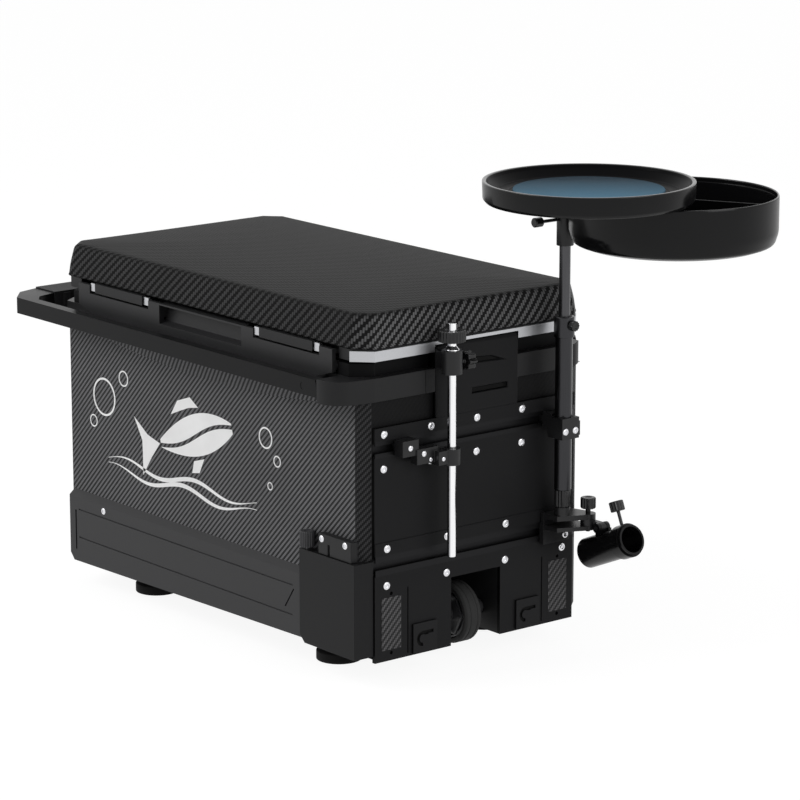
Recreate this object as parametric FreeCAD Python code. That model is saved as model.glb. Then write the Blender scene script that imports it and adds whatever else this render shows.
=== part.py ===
"""Fishing seat box: an insulated box on four feet with a padded lid, a tow handle, a wheel,
and an end panel with two rails that carry a rod, a pole with two trays and a rod holder.

X runs along the box, +X is the end with the rails, -Y is the front long side, +Z is up.
The origin is the centre of the flat underside of the base. All sizes are in millimetres.
"""
import FreeCAD, Part
import math
import os

from FreeCAD import Vector

# Body of the box
HALF_LENGTH = 295.0
HALF_WIDTH = 165.0
CORNER_X = 10.0
CORNER_Y = 16.0
WALL = 3.0
BASE_TOP = 92.0
BASE_WALL = 4.0
COLLAR_LOW = 304.0
COLLAR_TOP = 331.0
COLLAR_WALL = 4.0
NECK_TOP = COLLAR_TOP + 15.0
NECK_HALF_LENGTH = HALF_LENGTH - 9.0
NECK_HALF_WIDTH = HALF_WIDTH - 13.0
FOAM_THICKNESS = 30.0
TUB_HALF_LENGTH = HALF_LENGTH - WALL - FOAM_THICKNESS
TUB_HALF_WIDTH = HALF_WIDTH - WALL - FOAM_THICKNESS - 5.0
TUB_FLOOR = BASE_TOP + 18.0
TUB_CORNER = 14.0
SWELL_LEFT, SWELL_RIGHT = -HALF_LENGTH + 59.0, HALF_LENGTH - 11.0
SWELL_LOW = COLLAR_LOW - 22.5
SWELL_OUT = 8.0
RUN_GAP = 0.3
FIT = 0.05

# End panel
PANEL_THICKNESS = 5.0
PANEL_FACE = HALF_LENGTH + PANEL_THICKNESS
PANEL_HALF_WIDTH = HALF_WIDTH - CORNER_Y
RAIL_DEPTH = 8.0
RAIL_WALL = 2.0
RAIL_SLOT = 9.0
UPPER_RAIL_LOW, UPPER_RAIL_HIGH = COLLAR_LOW - 65.0, COLLAR_LOW - 45.5
LOWER_RAIL_LOW, LOWER_RAIL_HIGH = BASE_TOP + 9.5, BASE_TOP + 33.0
MID_PANEL_LOW = LOWER_RAIL_HIGH + 15.0
STRIP_TOP = UPPER_RAIL_HIGH + 15.0
BLOCK_HALF_WIDTH = 61.0
BLOCK_FACE = PANEL_FACE + 1.5
SCREW_HEAD = 4.8
SCREW_HEAD_HEIGHT = 1.6
SCREW_SHANK = 2.4
UPPER_SCREW_PITCH = (PANEL_HALF_WIDTH - 13.0) / 2
LOWER_SCREW_PITCH = (PANEL_HALF_WIDTH - 17.0) / 1.5
INSERT_NEAR, INSERT_FAR = PANEL_HALF_WIDTH - 38.0, PANEL_HALF_WIDTH - 9.5
INSERT_LOW, INSERT_HIGH = 13.0, BASE_TOP - 17.0
INSERT_DEPTH = 1.2
SEAM_Y = INSERT_NEAR - 10.0

# Wheel
WHEEL_RADIUS = 36.0
WHEEL_WIDTH = 24.0
WHEEL_X = HALF_LENGTH - 33.0
WHEEL_Z = 26.0
WELL_HALF_WIDTH = 37.0
WELL_TOP = BASE_TOP - 10.0
AXLE_RADIUS = 5.0
TYRE_DEPTH = 7.0
HUB_CAP = 27.0

# Keyhole pads beside the wheel
PAD_NEAR = WELL_HALF_WIDTH + 23.0
PAD_FAR = PAD_NEAR + 35.0
PAD_LOW, PAD_HIGH = 2.0, 37.0

# Feet
FOOT_X = HALF_LENGTH - 111.0
FOOT_Y = HALF_WIDTH - 55.0
FOOT_RADIUS = 27.0
FOOT_DROP = 28.0

# Lid
LID_LOW = NECK_TOP + 4.0
LID_TOP = LID_LOW + 13.5
LID_HALF_LENGTH = HALF_LENGTH + 2.0
LID_HALF_WIDTH = HALF_WIDTH
LID_CORNER = 20.0
LID_EDGE = NECK_HALF_WIDTH - 0.5
BLOCK_EDGE = LID_LOW + 2.0
BLOCK_TOP = BLOCK_EDGE + 6.3
BLOCK_BEVEL = 3.0
BLOCK_ROUND = 5.0
TRIM = 3.5
TRIM_TOP = LID_TOP - 1.5
TRIM_LENGTH = LID_CORNER - 3.0
CUSHION_HEIGHT = 45.0
CUSHION_HALF_LENGTH = LID_HALF_LENGTH + 3.0
CUSHION_HALF_WIDTH = LID_HALF_WIDTH + 5.0
CUSHION_DRAW_IN = 1.5
HINGE_Y = LID_HALF_WIDTH + 3.5
HINGE_Z = LID_TOP - 3.0
BAR_RADIUS = 2.0
PLATE_WIDTH = 10.0

# Release levers
LEVER_HALF_LENGTH = HALF_LENGTH - 42.0
LEVER_FACE = HALF_WIDTH + 7.0
LEVER_BACK = LEVER_FACE - 5.5
LEVER_LOW = COLLAR_TOP - 8.5
LEVER_TOP = NECK_TOP + 14.0
LEVER_PIVOT_Y = HALF_WIDTH - 2.0
LEVER_PIVOT_Z = NECK_TOP - 5.0
LEVER_PIN = 2.0
POCKET_HALF = 82.0
POCKET_LOW = COLLAR_TOP + 4.0
POCKET_DEPTH = 14.0
WINDOW_LOW = NECK_TOP + 3.5
PLATE_NEAR, PLATE_FAR = POCKET_HALF + 29.0, LEVER_HALF_LENGTH - 30.0

# Tow handle
HANDLE_IN = HALF_WIDTH + 21.0
HANDLE_OUT = HANDLE_IN + 14.0
HANDLE_LOW = COLLAR_LOW + 5.5
HANDLE_HIGH = HANDLE_LOW + 20.0
HANDLE_END = HALF_LENGTH + 90.0
GRIP_WIDTH = 40.0
GRIP_SKIN = 1.5
HANDLE_PIVOT_X = HALF_LENGTH - 59.0
HANDLE_TAIL = 24.0
HANDLE_PIN = 5.0

# Rod and its clamps
ROD_X, ROD_Y = PANEL_FACE + 22.0, -BLOCK_HALF_WIDTH + 6.0
ROD_RADIUS = 5.0
ROD_LOW, ROD_HIGH = LOWER_RAIL_HIGH - 10.0, BLOCK_EDGE + 34.0
ROD_CLAMP_RADIUS = 12.0
ROD_CLAMP_LOW, ROD_CLAMP_HIGH = BLOCK_EDGE - 24.0, BLOCK_EDGE + 3.0
ROD_RING_LOW, ROD_RING_HIGH = UPPER_RAIL_LOW - 16.0, UPPER_RAIL_LOW + 3.0
STOP_RADIUS = 16.0

# Rod holder on the lower rail, and the pole above it
POLE_X, POLE_Y = PANEL_FACE + 25.0, PANEL_HALF_WIDTH - 38.5
BRACKET_NEAR, BRACKET_FAR = POLE_Y - 13.5, POLE_Y + 26.5
BOLT_X, BOLT_Y = POLE_X + 13.0, POLE_Y + 28.5
FORK_LOW = LOWER_RAIL_HIGH - 7.0
FORK_GAP_LOW, FORK_GAP_HIGH = FORK_LOW + 5.0, FORK_LOW + 13.0
FORK_HIGH = FORK_LOW + 19.0
EAR_RADIUS = 9.0
TILT_X, TILT_Y, TILT_Z = BOLT_X + 18.0, BOLT_Y + 5.0, FORK_LOW + 4.5
HOLDER_TILT = 23.2
HOLDER_RADIUS = 18.0
HOLDER_BORE = 15.5
HOLDER_LENGTH = 80.0
HOLDER_DROP = 24.1
HOLDER_BACK = 33.0
BAND_FROM, BAND_TO = 62.0, 76.0
POLE_RADIUS = 10.0
POLE_LOW, POLE_HIGH = FORK_HIGH + 31.0, LID_LOW - 1.0
COLLAR_RADIUS = 12.0
LOCK_TOP = POLE_HIGH + 24.0
MAST_RADIUS = 6.5
MAST_LOW = UPPER_RAIL_HIGH - 8.5
HEAD_LOW, HEAD_HIGH = LOCK_TOP + 83.0, LOCK_TOP + 119.0
HEAD_RADIUS = 10.0

# Trays on the mast
TRAY_RADIUS = 118.5
TRAY_LOW, TRAY_HIGH = HEAD_HIGH + 35.0, HEAD_HIGH + 59.0
MAST_HIGH = TRAY_LOW - 12.0
TRAY_REACH = TRAY_RADIUS + 3.0
TRAY_ANGLE = -29.5
MAT_RADIUS = TRAY_RADIUS - 34.0
BOWL_HIGH = TRAY_LOW - 2.5
BOWL_DEPTH = 60.0
BOWL_REACH = TRAY_RADIUS + 10.6
BOWL_ANGLE = 29.2
BOWL_WALL = 3.0
BOWL_ROUND = 18.0

# Skirts, corner bracket and clamp
BRACKET_LEFT, BRACKET_RIGHT = HALF_LENGTH - 99.0, HALF_LENGTH + 3.0
BRACKET_FACE = HALF_WIDTH + 12.0
BRACKET_LOW, BRACKET_TOP = 8.0, BASE_TOP + 27.5
SKIRT_FACE = HALF_WIDTH + 8.0
SKIRT_REAR_END = HALF_LENGTH - 30.0
SKIRT_LEFT = -HALF_LENGTH + 13.0
SKIRT_LOW, SKIRT_RISE = 3.0, 8.5
SKIRT_TOP = BASE_TOP + 1.0
UNDERCUT, UNDERCUT_HEIGHT = 24.0, 13.0
CLAMP_LEFT, CLAMP_RIGHT = BRACKET_LEFT + 33.0, BRACKET_RIGHT - 8.0
CLAMP_TOP = BRACKET_TOP + 24.5
CLAMP_FACE = HALF_WIDTH + 10.0

AXES = {"x": Vector(1, 0, 0), "y": Vector(0, 1, 0), "z": Vector(0, 0, 1)}


def block(x0, x1, y0, y1, z0, z1):
    """A box between two corners."""
    return Part.makeBox(x1 - x0, y1 - y0, z1 - z0, Vector(x0, y0, z0))


def bar(axis, radius, centre, start, end):
    """A cylinder along an axis, from start to end on it; centre gives the other two places."""
    places = list(centre)
    places.insert("xyz".index(axis), start)
    return Part.makeCylinder(radius, end - start, Vector(*places), AXES[axis])


def outline(points, low, high):
    """A prism with straight sides over a list of plan points."""
    wire = Part.makePolygon([Vector(x, y, low) for x, y in points + points[:1]])
    return Part.Face(wire).extrude(Vector(0, 0, high - low))


def corners(half_x, half_y, cut_x, cut_y):
    """Plan points of a rectangle with its corners cut off."""
    quarter = [(half_x, half_y - cut_y), (half_x - cut_x, half_y)]
    left = [(-x, y) for x, y in reversed(quarter)]
    return quarter + left + [(-x, -y) for x, y in quarter] + [(x, -y) for x, y in reversed(quarter)]


def octagon(half_x, half_y, cut_x, cut_y, low, high):
    """A prism over a rectangle with cut corners."""
    return outline(corners(half_x, half_y, cut_x, cut_y), low, high)


def rounded(half_x, half_y, radius, low, high):
    """A box about the Z axis with round upright corners."""
    solid = block(-half_x, half_x, -half_y, half_y, low, high)
    upright = [e for e in solid.Edges if abs(e.tangentAt(e.FirstParameter).z) > 0.9]
    return solid.makeFillet(radius, upright)


def profile_x(points, x0, x1):
    """A prism along X over a list of (y, z) points."""
    wire = Part.makePolygon([Vector(x0, y, z) for y, z in points + points[:1]])
    return Part.Face(wire).extrude(Vector(x1 - x0, 0, 0))


def turned(points, centre=(0, 0)):
    """A solid of revolution about Z over a list of (radius, z) points."""
    wire = Part.makePolygon([Vector(r, 0, z) for r, z in points + points[:1]])
    solid = Part.Face(wire).revolve(Vector(0, 0, 0), Vector(0, 0, 1), 360)
    solid.translate(Vector(centre[0], centre[1], 0))
    return solid


def fuse(*shapes):
    """One solid out of several that touch or overlap."""
    return shapes[0].multiFuse(list(shapes[1:])).removeSplitter()


def mirrored(shape):
    """The same shape on the other long side."""
    return shape.mirror(Vector(0, 0, 0), Vector(0, 1, 0))


def save(node, *solids):
    """Write one node; a group of like pieces is a compound of its solids."""
    shape = solids[0] if len(solids) == 1 else Part.makeCompound(list(solids))
    assert shape.isValid(), node
    shape.exportStep("parts/%s.step" % node)
    print("%-18s %2d solid %10.0f mm3" % (node, len(shape.Solids), shape.Volume))


def knob(axis, radius, centre, start, end, shank, reach):
    """A thumb knob with a bevelled rim and its threaded shank, which ends at reach."""
    head = bar(axis, radius, centre, start, end)
    head = head.makeChamfer(1.2, [e for e in head.Edges if e.Closed])
    tail = bar(axis, shank, centre, min(start, reach), max(end, reach))
    return fuse(head, tail)


os.makedirs("parts", exist_ok=True)

# Base casing: a moulded pan with a flat floor, a wheel well at the +X end and cheeks for the axle
well_wall = WELL_HALF_WIDTH + BASE_WALL
well_back = WHEEL_X - WHEEL_RADIUS - 24.0
base = octagon(HALF_LENGTH, HALF_WIDTH, CORNER_X, CORNER_Y, 0, BASE_TOP)
hollow = octagon(HALF_LENGTH - BASE_WALL, HALF_WIDTH - BASE_WALL, CORNER_X, CORNER_Y, BASE_WALL, BASE_TOP)
well_box = block(well_back - BASE_WALL, HALF_LENGTH, -well_wall, well_wall, 0, WELL_TOP + BASE_WALL)
well = block(well_back, HALF_LENGTH + 1, -WELL_HALF_WIDTH, WELL_HALF_WIDTH, -1, WELL_TOP)
base = base.cut(hollow.cut(well_box)).cut(well)
for side in (-1, 1):
    edge_y, wall_y = side * HALF_WIDTH, side * (HALF_WIDTH - BASE_WALL)
    slope = [(side * (HALF_WIDTH - UNDERCUT), 0), (edge_y, UNDERCUT_HEIGHT), (edge_y, 0)]
    inner = [(side * (HALF_WIDTH - UNDERCUT - 2), BASE_WALL), (wall_y, UNDERCUT_HEIGHT + 3),
             (wall_y, BASE_WALL)]
    web = profile_x(inner, -HALF_LENGTH, HALF_LENGTH)
    web = web.common(octagon(HALF_LENGTH - 1, HALF_WIDTH - 1, CORNER_X, CORNER_Y, 0, BASE_TOP))
    base = fuse(base, web).cut(profile_x(slope, -HALF_LENGTH - 1, HALF_LENGTH + 1))
base = base.cut(bar("y", AXLE_RADIUS, (WHEEL_X, WHEEL_Z), -well_wall - 1, well_wall + 1))
screws_y_upper = [UPPER_SCREW_PITCH * n for n in (-2, -1, 0, 1, 2)]
screws_y_lower = [LOWER_SCREW_PITCH * (n - 1.5) for n in range(4)]
row_1, row_2 = UPPER_RAIL_HIGH + 7.0, UPPER_RAIL_LOW - 13.4
row_3, row_4 = LOWER_RAIL_HIGH + 7.5, LOWER_RAIL_LOW - 12.5


def drilled(solid, rows):
    """Holes for the rows of panel screws, of the shanks' own size."""
    for ys, z in rows:
        for y in ys:
            solid = solid.cut(bar("x", SCREW_SHANK, (y, z), HALF_LENGTH - WALL, PANEL_FACE + 2))
    return solid


save("base_casing", drilled(base, [(screws_y_lower, row_4)]))

# Lower end plate: covers the base end and runs up to the lower rail, open over the wheel well
plate = block(HALF_LENGTH, PANEL_FACE, -PANEL_HALF_WIDTH, PANEL_HALF_WIDTH, 0, LOWER_RAIL_LOW)
plate = plate.cut(block(HALF_LENGTH, PANEL_FACE + 1, -WELL_HALF_WIDTH, WELL_HALF_WIDTH, -1, WELL_TOP))
for side in (-1, 1):
    y0, y1 = sorted((side * INSERT_NEAR, side * INSERT_FAR))
    plate = plate.cut(block(PANEL_FACE - INSERT_DEPTH, PANEL_FACE + 1, y0, y1, INSERT_LOW, INSERT_HIGH))
    plate = plate.cut(block(PANEL_FACE - 1.2, PANEL_FACE + 1, side * SEAM_Y - 0.8, side * SEAM_Y + 0.8,
                            4.0, WELL_TOP + 0.5))
    for z in (INSERT_LOW - 4.0, INSERT_HIGH + 4.0):
        plate = plate.cut(bar("x", 2.2, ((y0 + y1) / 2, z), PANEL_FACE - 2, PANEL_FACE + 1))
save("end_plate", drilled(plate, [(screws_y_lower, row_4)]))
inserts = []
for side in (-1, 1):
    y0, y1 = sorted((side * INSERT_NEAR, side * INSERT_FAR))
    inserts.append(block(PANEL_FACE - INSERT_DEPTH, PANEL_FACE + 0.4, y0, y1, INSERT_LOW, INSERT_HIGH))
save("carbon_inserts", *inserts)

# Keyhole pads: square rubber pads low on the end plate, each with a curved slot that ends in an arm
pads = []
for side in (-1, 1):
    y0, y1 = sorted((side * PAD_NEAR, side * PAD_FAR))
    pad = block(PANEL_FACE, PANEL_FACE + 3.0, y0, y1, PAD_LOW, PAD_HIGH)
    middle = (y0 + 14.0, PAD_LOW + 16.0)
    slot = bar("x", 9.0, middle, PANEL_FACE + 1.0, PANEL_FACE + 4.0)
    slot = slot.cut(bar("x", 5.0, middle, PANEL_FACE, PANEL_FACE + 5.0))
    slot = slot.cut(block(PANEL_FACE, PANEL_FACE + 5.0, middle[0], y1 + 5, PAD_LOW - 5, middle[1] + 4))
    arm = block(PANEL_FACE + 1.0, PANEL_FACE + 4.0, middle[0], y1 - 5.5, middle[1] + 5.0, middle[1] + 9.0)
    pads.append(pad.cut(slot).cut(arm))
save("keyhole_pads", *pads)

# Outer shell: one open tub with windows for the rails and a swelling on each long side
shell = octagon(HALF_LENGTH, HALF_WIDTH, CORNER_X, CORNER_Y, BASE_TOP, COLLAR_TOP - COLLAR_WALL)
shell = shell.cut(octagon(HALF_LENGTH - WALL, HALF_WIDTH - WALL, CORNER_X, CORNER_Y,
                          BASE_TOP + WALL, COLLAR_TOP))
for low, high in ((UPPER_RAIL_LOW, UPPER_RAIL_HIGH), (LOWER_RAIL_LOW, LOWER_RAIL_HIGH)):
    shell = shell.cut(block(HALF_LENGTH - WALL - 1, PANEL_FACE, -PANEL_HALF_WIDTH + 1,
                            PANEL_HALF_WIDTH - 1, low, high))
shell = drilled(shell, [(screws_y_upper, row_1), (screws_y_upper, row_2), (screws_y_lower, row_3)])
arc = Part.Arc(Vector(SWELL_LEFT, 0, COLLAR_LOW), Vector((SWELL_LEFT + SWELL_RIGHT) / 2, 0, SWELL_LOW),
               Vector(SWELL_RIGHT, 0, COLLAR_LOW)).toShape()
lens = Part.Face(Part.Wire([arc, Part.makeLine(Vector(SWELL_RIGHT, 0, COLLAR_LOW),
                                               Vector(SWELL_LEFT, 0, COLLAR_LOW))]))
lens = lens.extrude(Vector(0, -HALF_WIDTH - 20, 0))
wedge = profile_x([(-HALF_WIDTH + 0.5, SWELL_LOW), (-HALF_WIDTH, SWELL_LOW),
                   (-HALF_WIDTH - SWELL_OUT, COLLAR_LOW), (-HALF_WIDTH + 0.5, COLLAR_LOW)],
                  SWELL_LEFT, SWELL_RIGHT)
swell = wedge.common(lens)
shell = fuse(shell, swell, mirrored(swell))
save("outer_shell", shell)

# Inner liner: the tub that holds the catch or the tackle, with a lip over the neck
liner = rounded(TUB_HALF_LENGTH + WALL, TUB_HALF_WIDTH + WALL, TUB_CORNER + WALL, TUB_FLOOR - WALL, NECK_TOP)
liner = liner.cut(rounded(TUB_HALF_LENGTH, TUB_HALF_WIDTH, TUB_CORNER, TUB_FLOOR, NECK_TOP + 1))
save("inner_liner", liner)
liner_block = rounded(TUB_HALF_LENGTH + WALL, TUB_HALF_WIDTH + WALL, TUB_CORNER + WALL,
                      TUB_FLOOR - WALL, COLLAR_TOP + 40)

# Foam between the shell and the liner
foam = octagon(HALF_LENGTH - WALL, HALF_WIDTH - WALL, CORNER_X, CORNER_Y,
               BASE_TOP + WALL, COLLAR_TOP - COLLAR_WALL)
save("foam_insulation", foam.cut(liner_block))

# Rim collar: an upside-down channel over the top of the shell, with a boss that stops the front handle arm
collar = octagon(PANEL_FACE, HALF_WIDTH + 1, 12, 17, COLLAR_LOW, COLLAR_TOP)
collar = collar.cut(octagon(HALF_LENGTH, HALF_WIDTH, CORNER_X, CORNER_Y,
                            COLLAR_LOW - 1, COLLAR_TOP - COLLAR_WALL))
boss_left = HANDLE_PIVOT_X + HANDLE_TAIL + RUN_GAP
boss = outline([(boss_left, -HALF_WIDTH + 4), (boss_left, -HANDLE_OUT), (PANEL_FACE - 26, -HANDLE_OUT),
                (PANEL_FACE - 12, -HANDLE_OUT + 7), (PANEL_FACE - 5, -HANDLE_IN + 7),
                (PANEL_FACE, -PANEL_HALF_WIDTH + 1), (PANEL_FACE - 10, -PANEL_HALF_WIDTH + 1)],
               COLLAR_LOW, COLLAR_TOP)
boss = boss.cut(octagon(HALF_LENGTH, HALF_WIDTH, CORNER_X, CORNER_Y,
                        COLLAR_LOW - 1, COLLAR_TOP - COLLAR_WALL))
collar = fuse(collar, boss)
collar = collar.cut(liner_block)
block_space = block(HALF_LENGTH - WALL, BLOCK_FACE + 1, -BLOCK_HALF_WIDTH, BLOCK_HALF_WIDTH,
                    COLLAR_LOW - 1, COLLAR_TOP - COLLAR_WALL)
block_space = fuse(block_space, block(NECK_HALF_LENGTH, BLOCK_FACE + 1, -BLOCK_HALF_WIDTH,
                                      BLOCK_HALF_WIDTH, COLLAR_TOP - COLLAR_WALL, COLLAR_TOP + 1))
collar = collar.cut(block_space)
pivot_z = (HANDLE_LOW + HANDLE_HIGH) / 2
groove_y = -BLOCK_HALF_WIDTH - 15.0
groove = block(PANEL_FACE - 0.8, PANEL_FACE + 1, groove_y, groove_y + 1.5, COLLAR_LOW - 1, COLLAR_TOP + 1)
pivot_hole = bar("y", HANDLE_PIN, (HANDLE_PIVOT_X, pivot_z), -HALF_WIDTH - 5, HALF_WIDTH + 5)
save("rim_collar", collar.cut(groove).cut(pivot_hole))

# Neck ring: stands on the collar inside the levers, with a pillar at each corner
pillar_left, pillar_right = LEVER_HALF_LENGTH + 1, HALF_LENGTH - 4.0
neck = octagon(NECK_HALF_LENGTH, NECK_HALF_WIDTH, 14, 14, COLLAR_TOP, NECK_TOP)
pillars = []
for sx in (-1, 1):
    x0, x1 = sorted((sx * pillar_left, sx * pillar_right))
    for sy in (-1, 1):
        y0, y1 = sorted((sy * (NECK_HALF_WIDTH - 22), sy * HALF_WIDTH))
        pillars.append(block(x0, x1, y0, y1, COLLAR_TOP, NECK_TOP))
neck = fuse(neck, *pillars)
neck = neck.common(octagon(pillar_right + 1, HALF_WIDTH, 18, 24, COLLAR_TOP, NECK_TOP))
neck = neck.cut(block(NECK_HALF_LENGTH, PANEL_FACE, -NECK_HALF_WIDTH + 11, NECK_HALF_WIDTH - 11,
                      COLLAR_TOP, NECK_TOP))
neck = neck.cut(liner_block)
ear_width = 4.0
lever_pins = []
for sx in (-1, 1):
    x0, x1 = sorted((sx * (LEVER_HALF_LENGTH - ear_width), sx * (pillar_left + 6)))
    pin = bar("x", LEVER_PIN, (-LEVER_PIVOT_Y, LEVER_PIVOT_Z), x0, x1)
    lever_pins.extend([pin, mirrored(pin)])
save("neck_ring", neck.cut(lever_pins[0]).cut(lever_pins[1]).cut(lever_pins[2]).cut(lever_pins[3]))
save("lever_pins", *lever_pins)

# End block: the raised box in the middle of the rail end, with two slots, round upper corners and a bevel
block_end = BLOCK_TOP - RUN_GAP
end_block = fuse(block(PANEL_FACE - 5, BLOCK_FACE, -BLOCK_HALF_WIDTH, BLOCK_HALF_WIDTH,
                       STRIP_TOP, COLLAR_LOW),
                 block(HALF_LENGTH - WALL + 3, BLOCK_FACE, -BLOCK_HALF_WIDTH, BLOCK_HALF_WIDTH,
                       COLLAR_LOW, COLLAR_TOP - COLLAR_WALL),
                 block(NECK_HALF_LENGTH, BLOCK_FACE, -BLOCK_HALF_WIDTH, BLOCK_HALF_WIDTH,
                       COLLAR_TOP - COLLAR_WALL, block_end))
upper_corners = [e for e in end_block.Edges if e.BoundBox.ZMin > block_end - 0.1 and e.BoundBox.YLength < 0.1]
end_block = end_block.makeFillet(BLOCK_ROUND, upper_corners)
bevel = [Vector(x, -BLOCK_HALF_WIDTH - 1, z) for x, z in
         ((BLOCK_FACE, BLOCK_EDGE), (BLOCK_FACE - BLOCK_BEVEL, BLOCK_TOP), (BLOCK_FACE + 1, BLOCK_TOP),
          (BLOCK_FACE + 1, BLOCK_EDGE), (BLOCK_FACE, BLOCK_EDGE))]
end_block = end_block.cut(Part.Face(Part.makePolygon(bevel)).extrude(Vector(0, 2 * BLOCK_HALF_WIDTH + 2, 0)))
slot_end = BLOCK_HALF_WIDTH - 15.5
end_block = end_block.cut(block(BLOCK_FACE - 4, BLOCK_FACE + 1, slot_end - 53, slot_end,
                                COLLAR_LOW - 9.5, COLLAR_LOW - 3))
end_block = end_block.cut(profile_x([(slot_end - 56.5, BLOCK_EDGE - 15), (slot_end - 24, BLOCK_EDGE - 17),
                                     (slot_end - 6, BLOCK_EDGE - 23.5), (slot_end - 56.5, BLOCK_EDGE - 22)],
                                    BLOCK_FACE - 3, BLOCK_FACE + 1))
save("end_block", end_block)

# Panels and strips on the rail end, screwed to the shell
mid_panel = block(HALF_LENGTH, PANEL_FACE, -PANEL_HALF_WIDTH, PANEL_HALF_WIDTH, MID_PANEL_LOW, UPPER_RAIL_LOW)
save("mid_panel", drilled(mid_panel, [(screws_y_upper, row_2)]))
upper_strip = block(HALF_LENGTH, PANEL_FACE + 1, -PANEL_HALF_WIDTH, PANEL_HALF_WIDTH,
                    UPPER_RAIL_HIGH, STRIP_TOP)
lower_strip = block(HALF_LENGTH, PANEL_FACE + 1, -PANEL_HALF_WIDTH, PANEL_HALF_WIDTH,
                    LOWER_RAIL_HIGH, MID_PANEL_LOW)
save("panel_strips", drilled(upper_strip, [(screws_y_upper, row_1)]),
     drilled(lower_strip, [(screws_y_lower, row_3)]))


def rail(low, high):
    """A C-shaped aluminium rail let into the shell, open towards +X."""
    middle = (low + high) / 2
    back = PANEL_FACE - RAIL_DEPTH
    solid = block(back, PANEL_FACE, -PANEL_HALF_WIDTH + 1, PANEL_HALF_WIDTH - 1, low, high)
    solid = solid.cut(block(back + RAIL_WALL, PANEL_FACE - RAIL_WALL, -PANEL_HALF_WIDTH, PANEL_HALF_WIDTH,
                            low + RAIL_WALL, high - RAIL_WALL))
    return solid.cut(block(back + RAIL_WALL, PANEL_FACE + 1, -PANEL_HALF_WIDTH, PANEL_HALF_WIDTH,
                           middle - RAIL_SLOT / 2, middle + RAIL_SLOT / 2))


save("accessory_rails", rail(UPPER_RAIL_LOW, UPPER_RAIL_HIGH), rail(LOWER_RAIL_LOW, LOWER_RAIL_HIGH))


def panel_screw(y, z, face):
    """A round-headed screw through a panel into the shell."""
    shank = bar("x", SCREW_SHANK, (y, z), HALF_LENGTH - WALL, face)
    return fuse(bar("x", SCREW_HEAD, (y, z), face, face + SCREW_HEAD_HEIGHT), shank)


panel_screws = [panel_screw(y, z, face) for ys, z, face in
                ((screws_y_upper, row_1, PANEL_FACE + 1), (screws_y_upper, row_2, PANEL_FACE),
                 (screws_y_lower, row_3, PANEL_FACE + 1), (screws_y_lower, row_4, PANEL_FACE))
                for y in ys]

# Side skirts: long boards low on each side with a sloping top and two panel lines


def skirt(right):
    """A skirt board on the front side: its lower edge rises towards +X."""
    board = profile_x([(-HALF_WIDTH, 0), (-SKIRT_FACE, 0), (-SKIRT_FACE, SKIRT_TOP - 7),
                       (-HALF_WIDTH, SKIRT_TOP)], SKIRT_LEFT, right)
    under = [Vector(x, 0, z) for x, z in
             ((SKIRT_LEFT - 1, -1), (SKIRT_LEFT - 1, SKIRT_LOW + 10), (SKIRT_LEFT + 8, SKIRT_LOW),
              (right + 1, SKIRT_LOW + SKIRT_RISE), (right + 1, -1), (SKIRT_LEFT - 1, -1))]
    board = board.cut(Part.Face(Part.makePolygon(under)).extrude(Vector(0, -SKIRT_FACE - 10, 0)))
    for line_z in (SKIRT_TOP - 22.5, SKIRT_TOP - 58.3):
        board = board.cut(block(SKIRT_LEFT + 20, BRACKET_LEFT - 18, -SKIRT_FACE - 1, -SKIRT_FACE + 1.2,
                                line_z - 0.9, line_z + 0.9))
    board = board.cut(block(SKIRT_LEFT + 12, SKIRT_LEFT + 15, -SKIRT_FACE - 1, -SKIRT_FACE + 1.5,
                            SKIRT_LOW + 15, SKIRT_TOP - 24))
    slit_x, slit_low, slit_high = BRACKET_LEFT - 33.5, SKIRT_TOP - 51, SKIRT_TOP - 27
    slit = [Vector(slit_x + dx, 0, z) for dx, z in ((0, slit_low), (16.5, slit_high), (19, slit_high),
                                                    (2.5, slit_low), (0, slit_low))]
    slit = Part.Face(Part.makePolygon(slit)).extrude(Vector(0, -SKIRT_FACE - 10, 0))
    return board.cut(slit.common(block(slit_x - 10, slit_x + 30, -SKIRT_FACE - 1, -SKIRT_FACE + 1.5,
                                       slit_low - 5, slit_high + 3)))


save("side_skirts", skirt(BRACKET_LEFT), mirrored(skirt(SKIRT_REAR_END)))

# Corner bracket wraps the lower front corner at the +X end; a clamp block and a thumb knob stand on it
bracket = block(BRACKET_LEFT, BRACKET_RIGHT, -BRACKET_FACE, -PANEL_HALF_WIDTH - 0.5,
                BRACKET_LOW, BRACKET_TOP)
bracket = bracket.cut(octagon(HALF_LENGTH, HALF_WIDTH, CORNER_X, CORNER_Y, -1, COLLAR_LOW))
foot_edge = [e for e in bracket.Edges if e.BoundBox.XMax < BRACKET_LEFT + 0.1
             and abs(e.BoundBox.ZMax - BRACKET_LOW) < 0.1]
bracket = bracket.makeChamfer(9.0, foot_edge)
knob_x, knob_y, knob_screw, knob_deep = BRACKET_LEFT + 12.6, -BRACKET_FACE + 2.3, 1.5, 16.0
bracket = bracket.cut(bar("z", knob_screw + FIT, (knob_x, knob_y), BRACKET_TOP - knob_deep, BRACKET_TOP + 1))
save("corner_bracket", bracket)
clamp = block(CLAMP_LEFT, CLAMP_RIGHT, -CLAMP_FACE, -HALF_WIDTH, BRACKET_TOP, CLAMP_TOP)
clamp = clamp.cut(octagon(HALF_LENGTH, HALF_WIDTH, CORNER_X, CORNER_Y, -1, COLLAR_LOW))
clamp = clamp.cut(block(CLAMP_LEFT + 18, CLAMP_LEFT + 21, -CLAMP_FACE - 1, -CLAMP_FACE + 3,
                        BRACKET_TOP - 1, CLAMP_TOP - 11))
save("corner_clamp", clamp)
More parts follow.
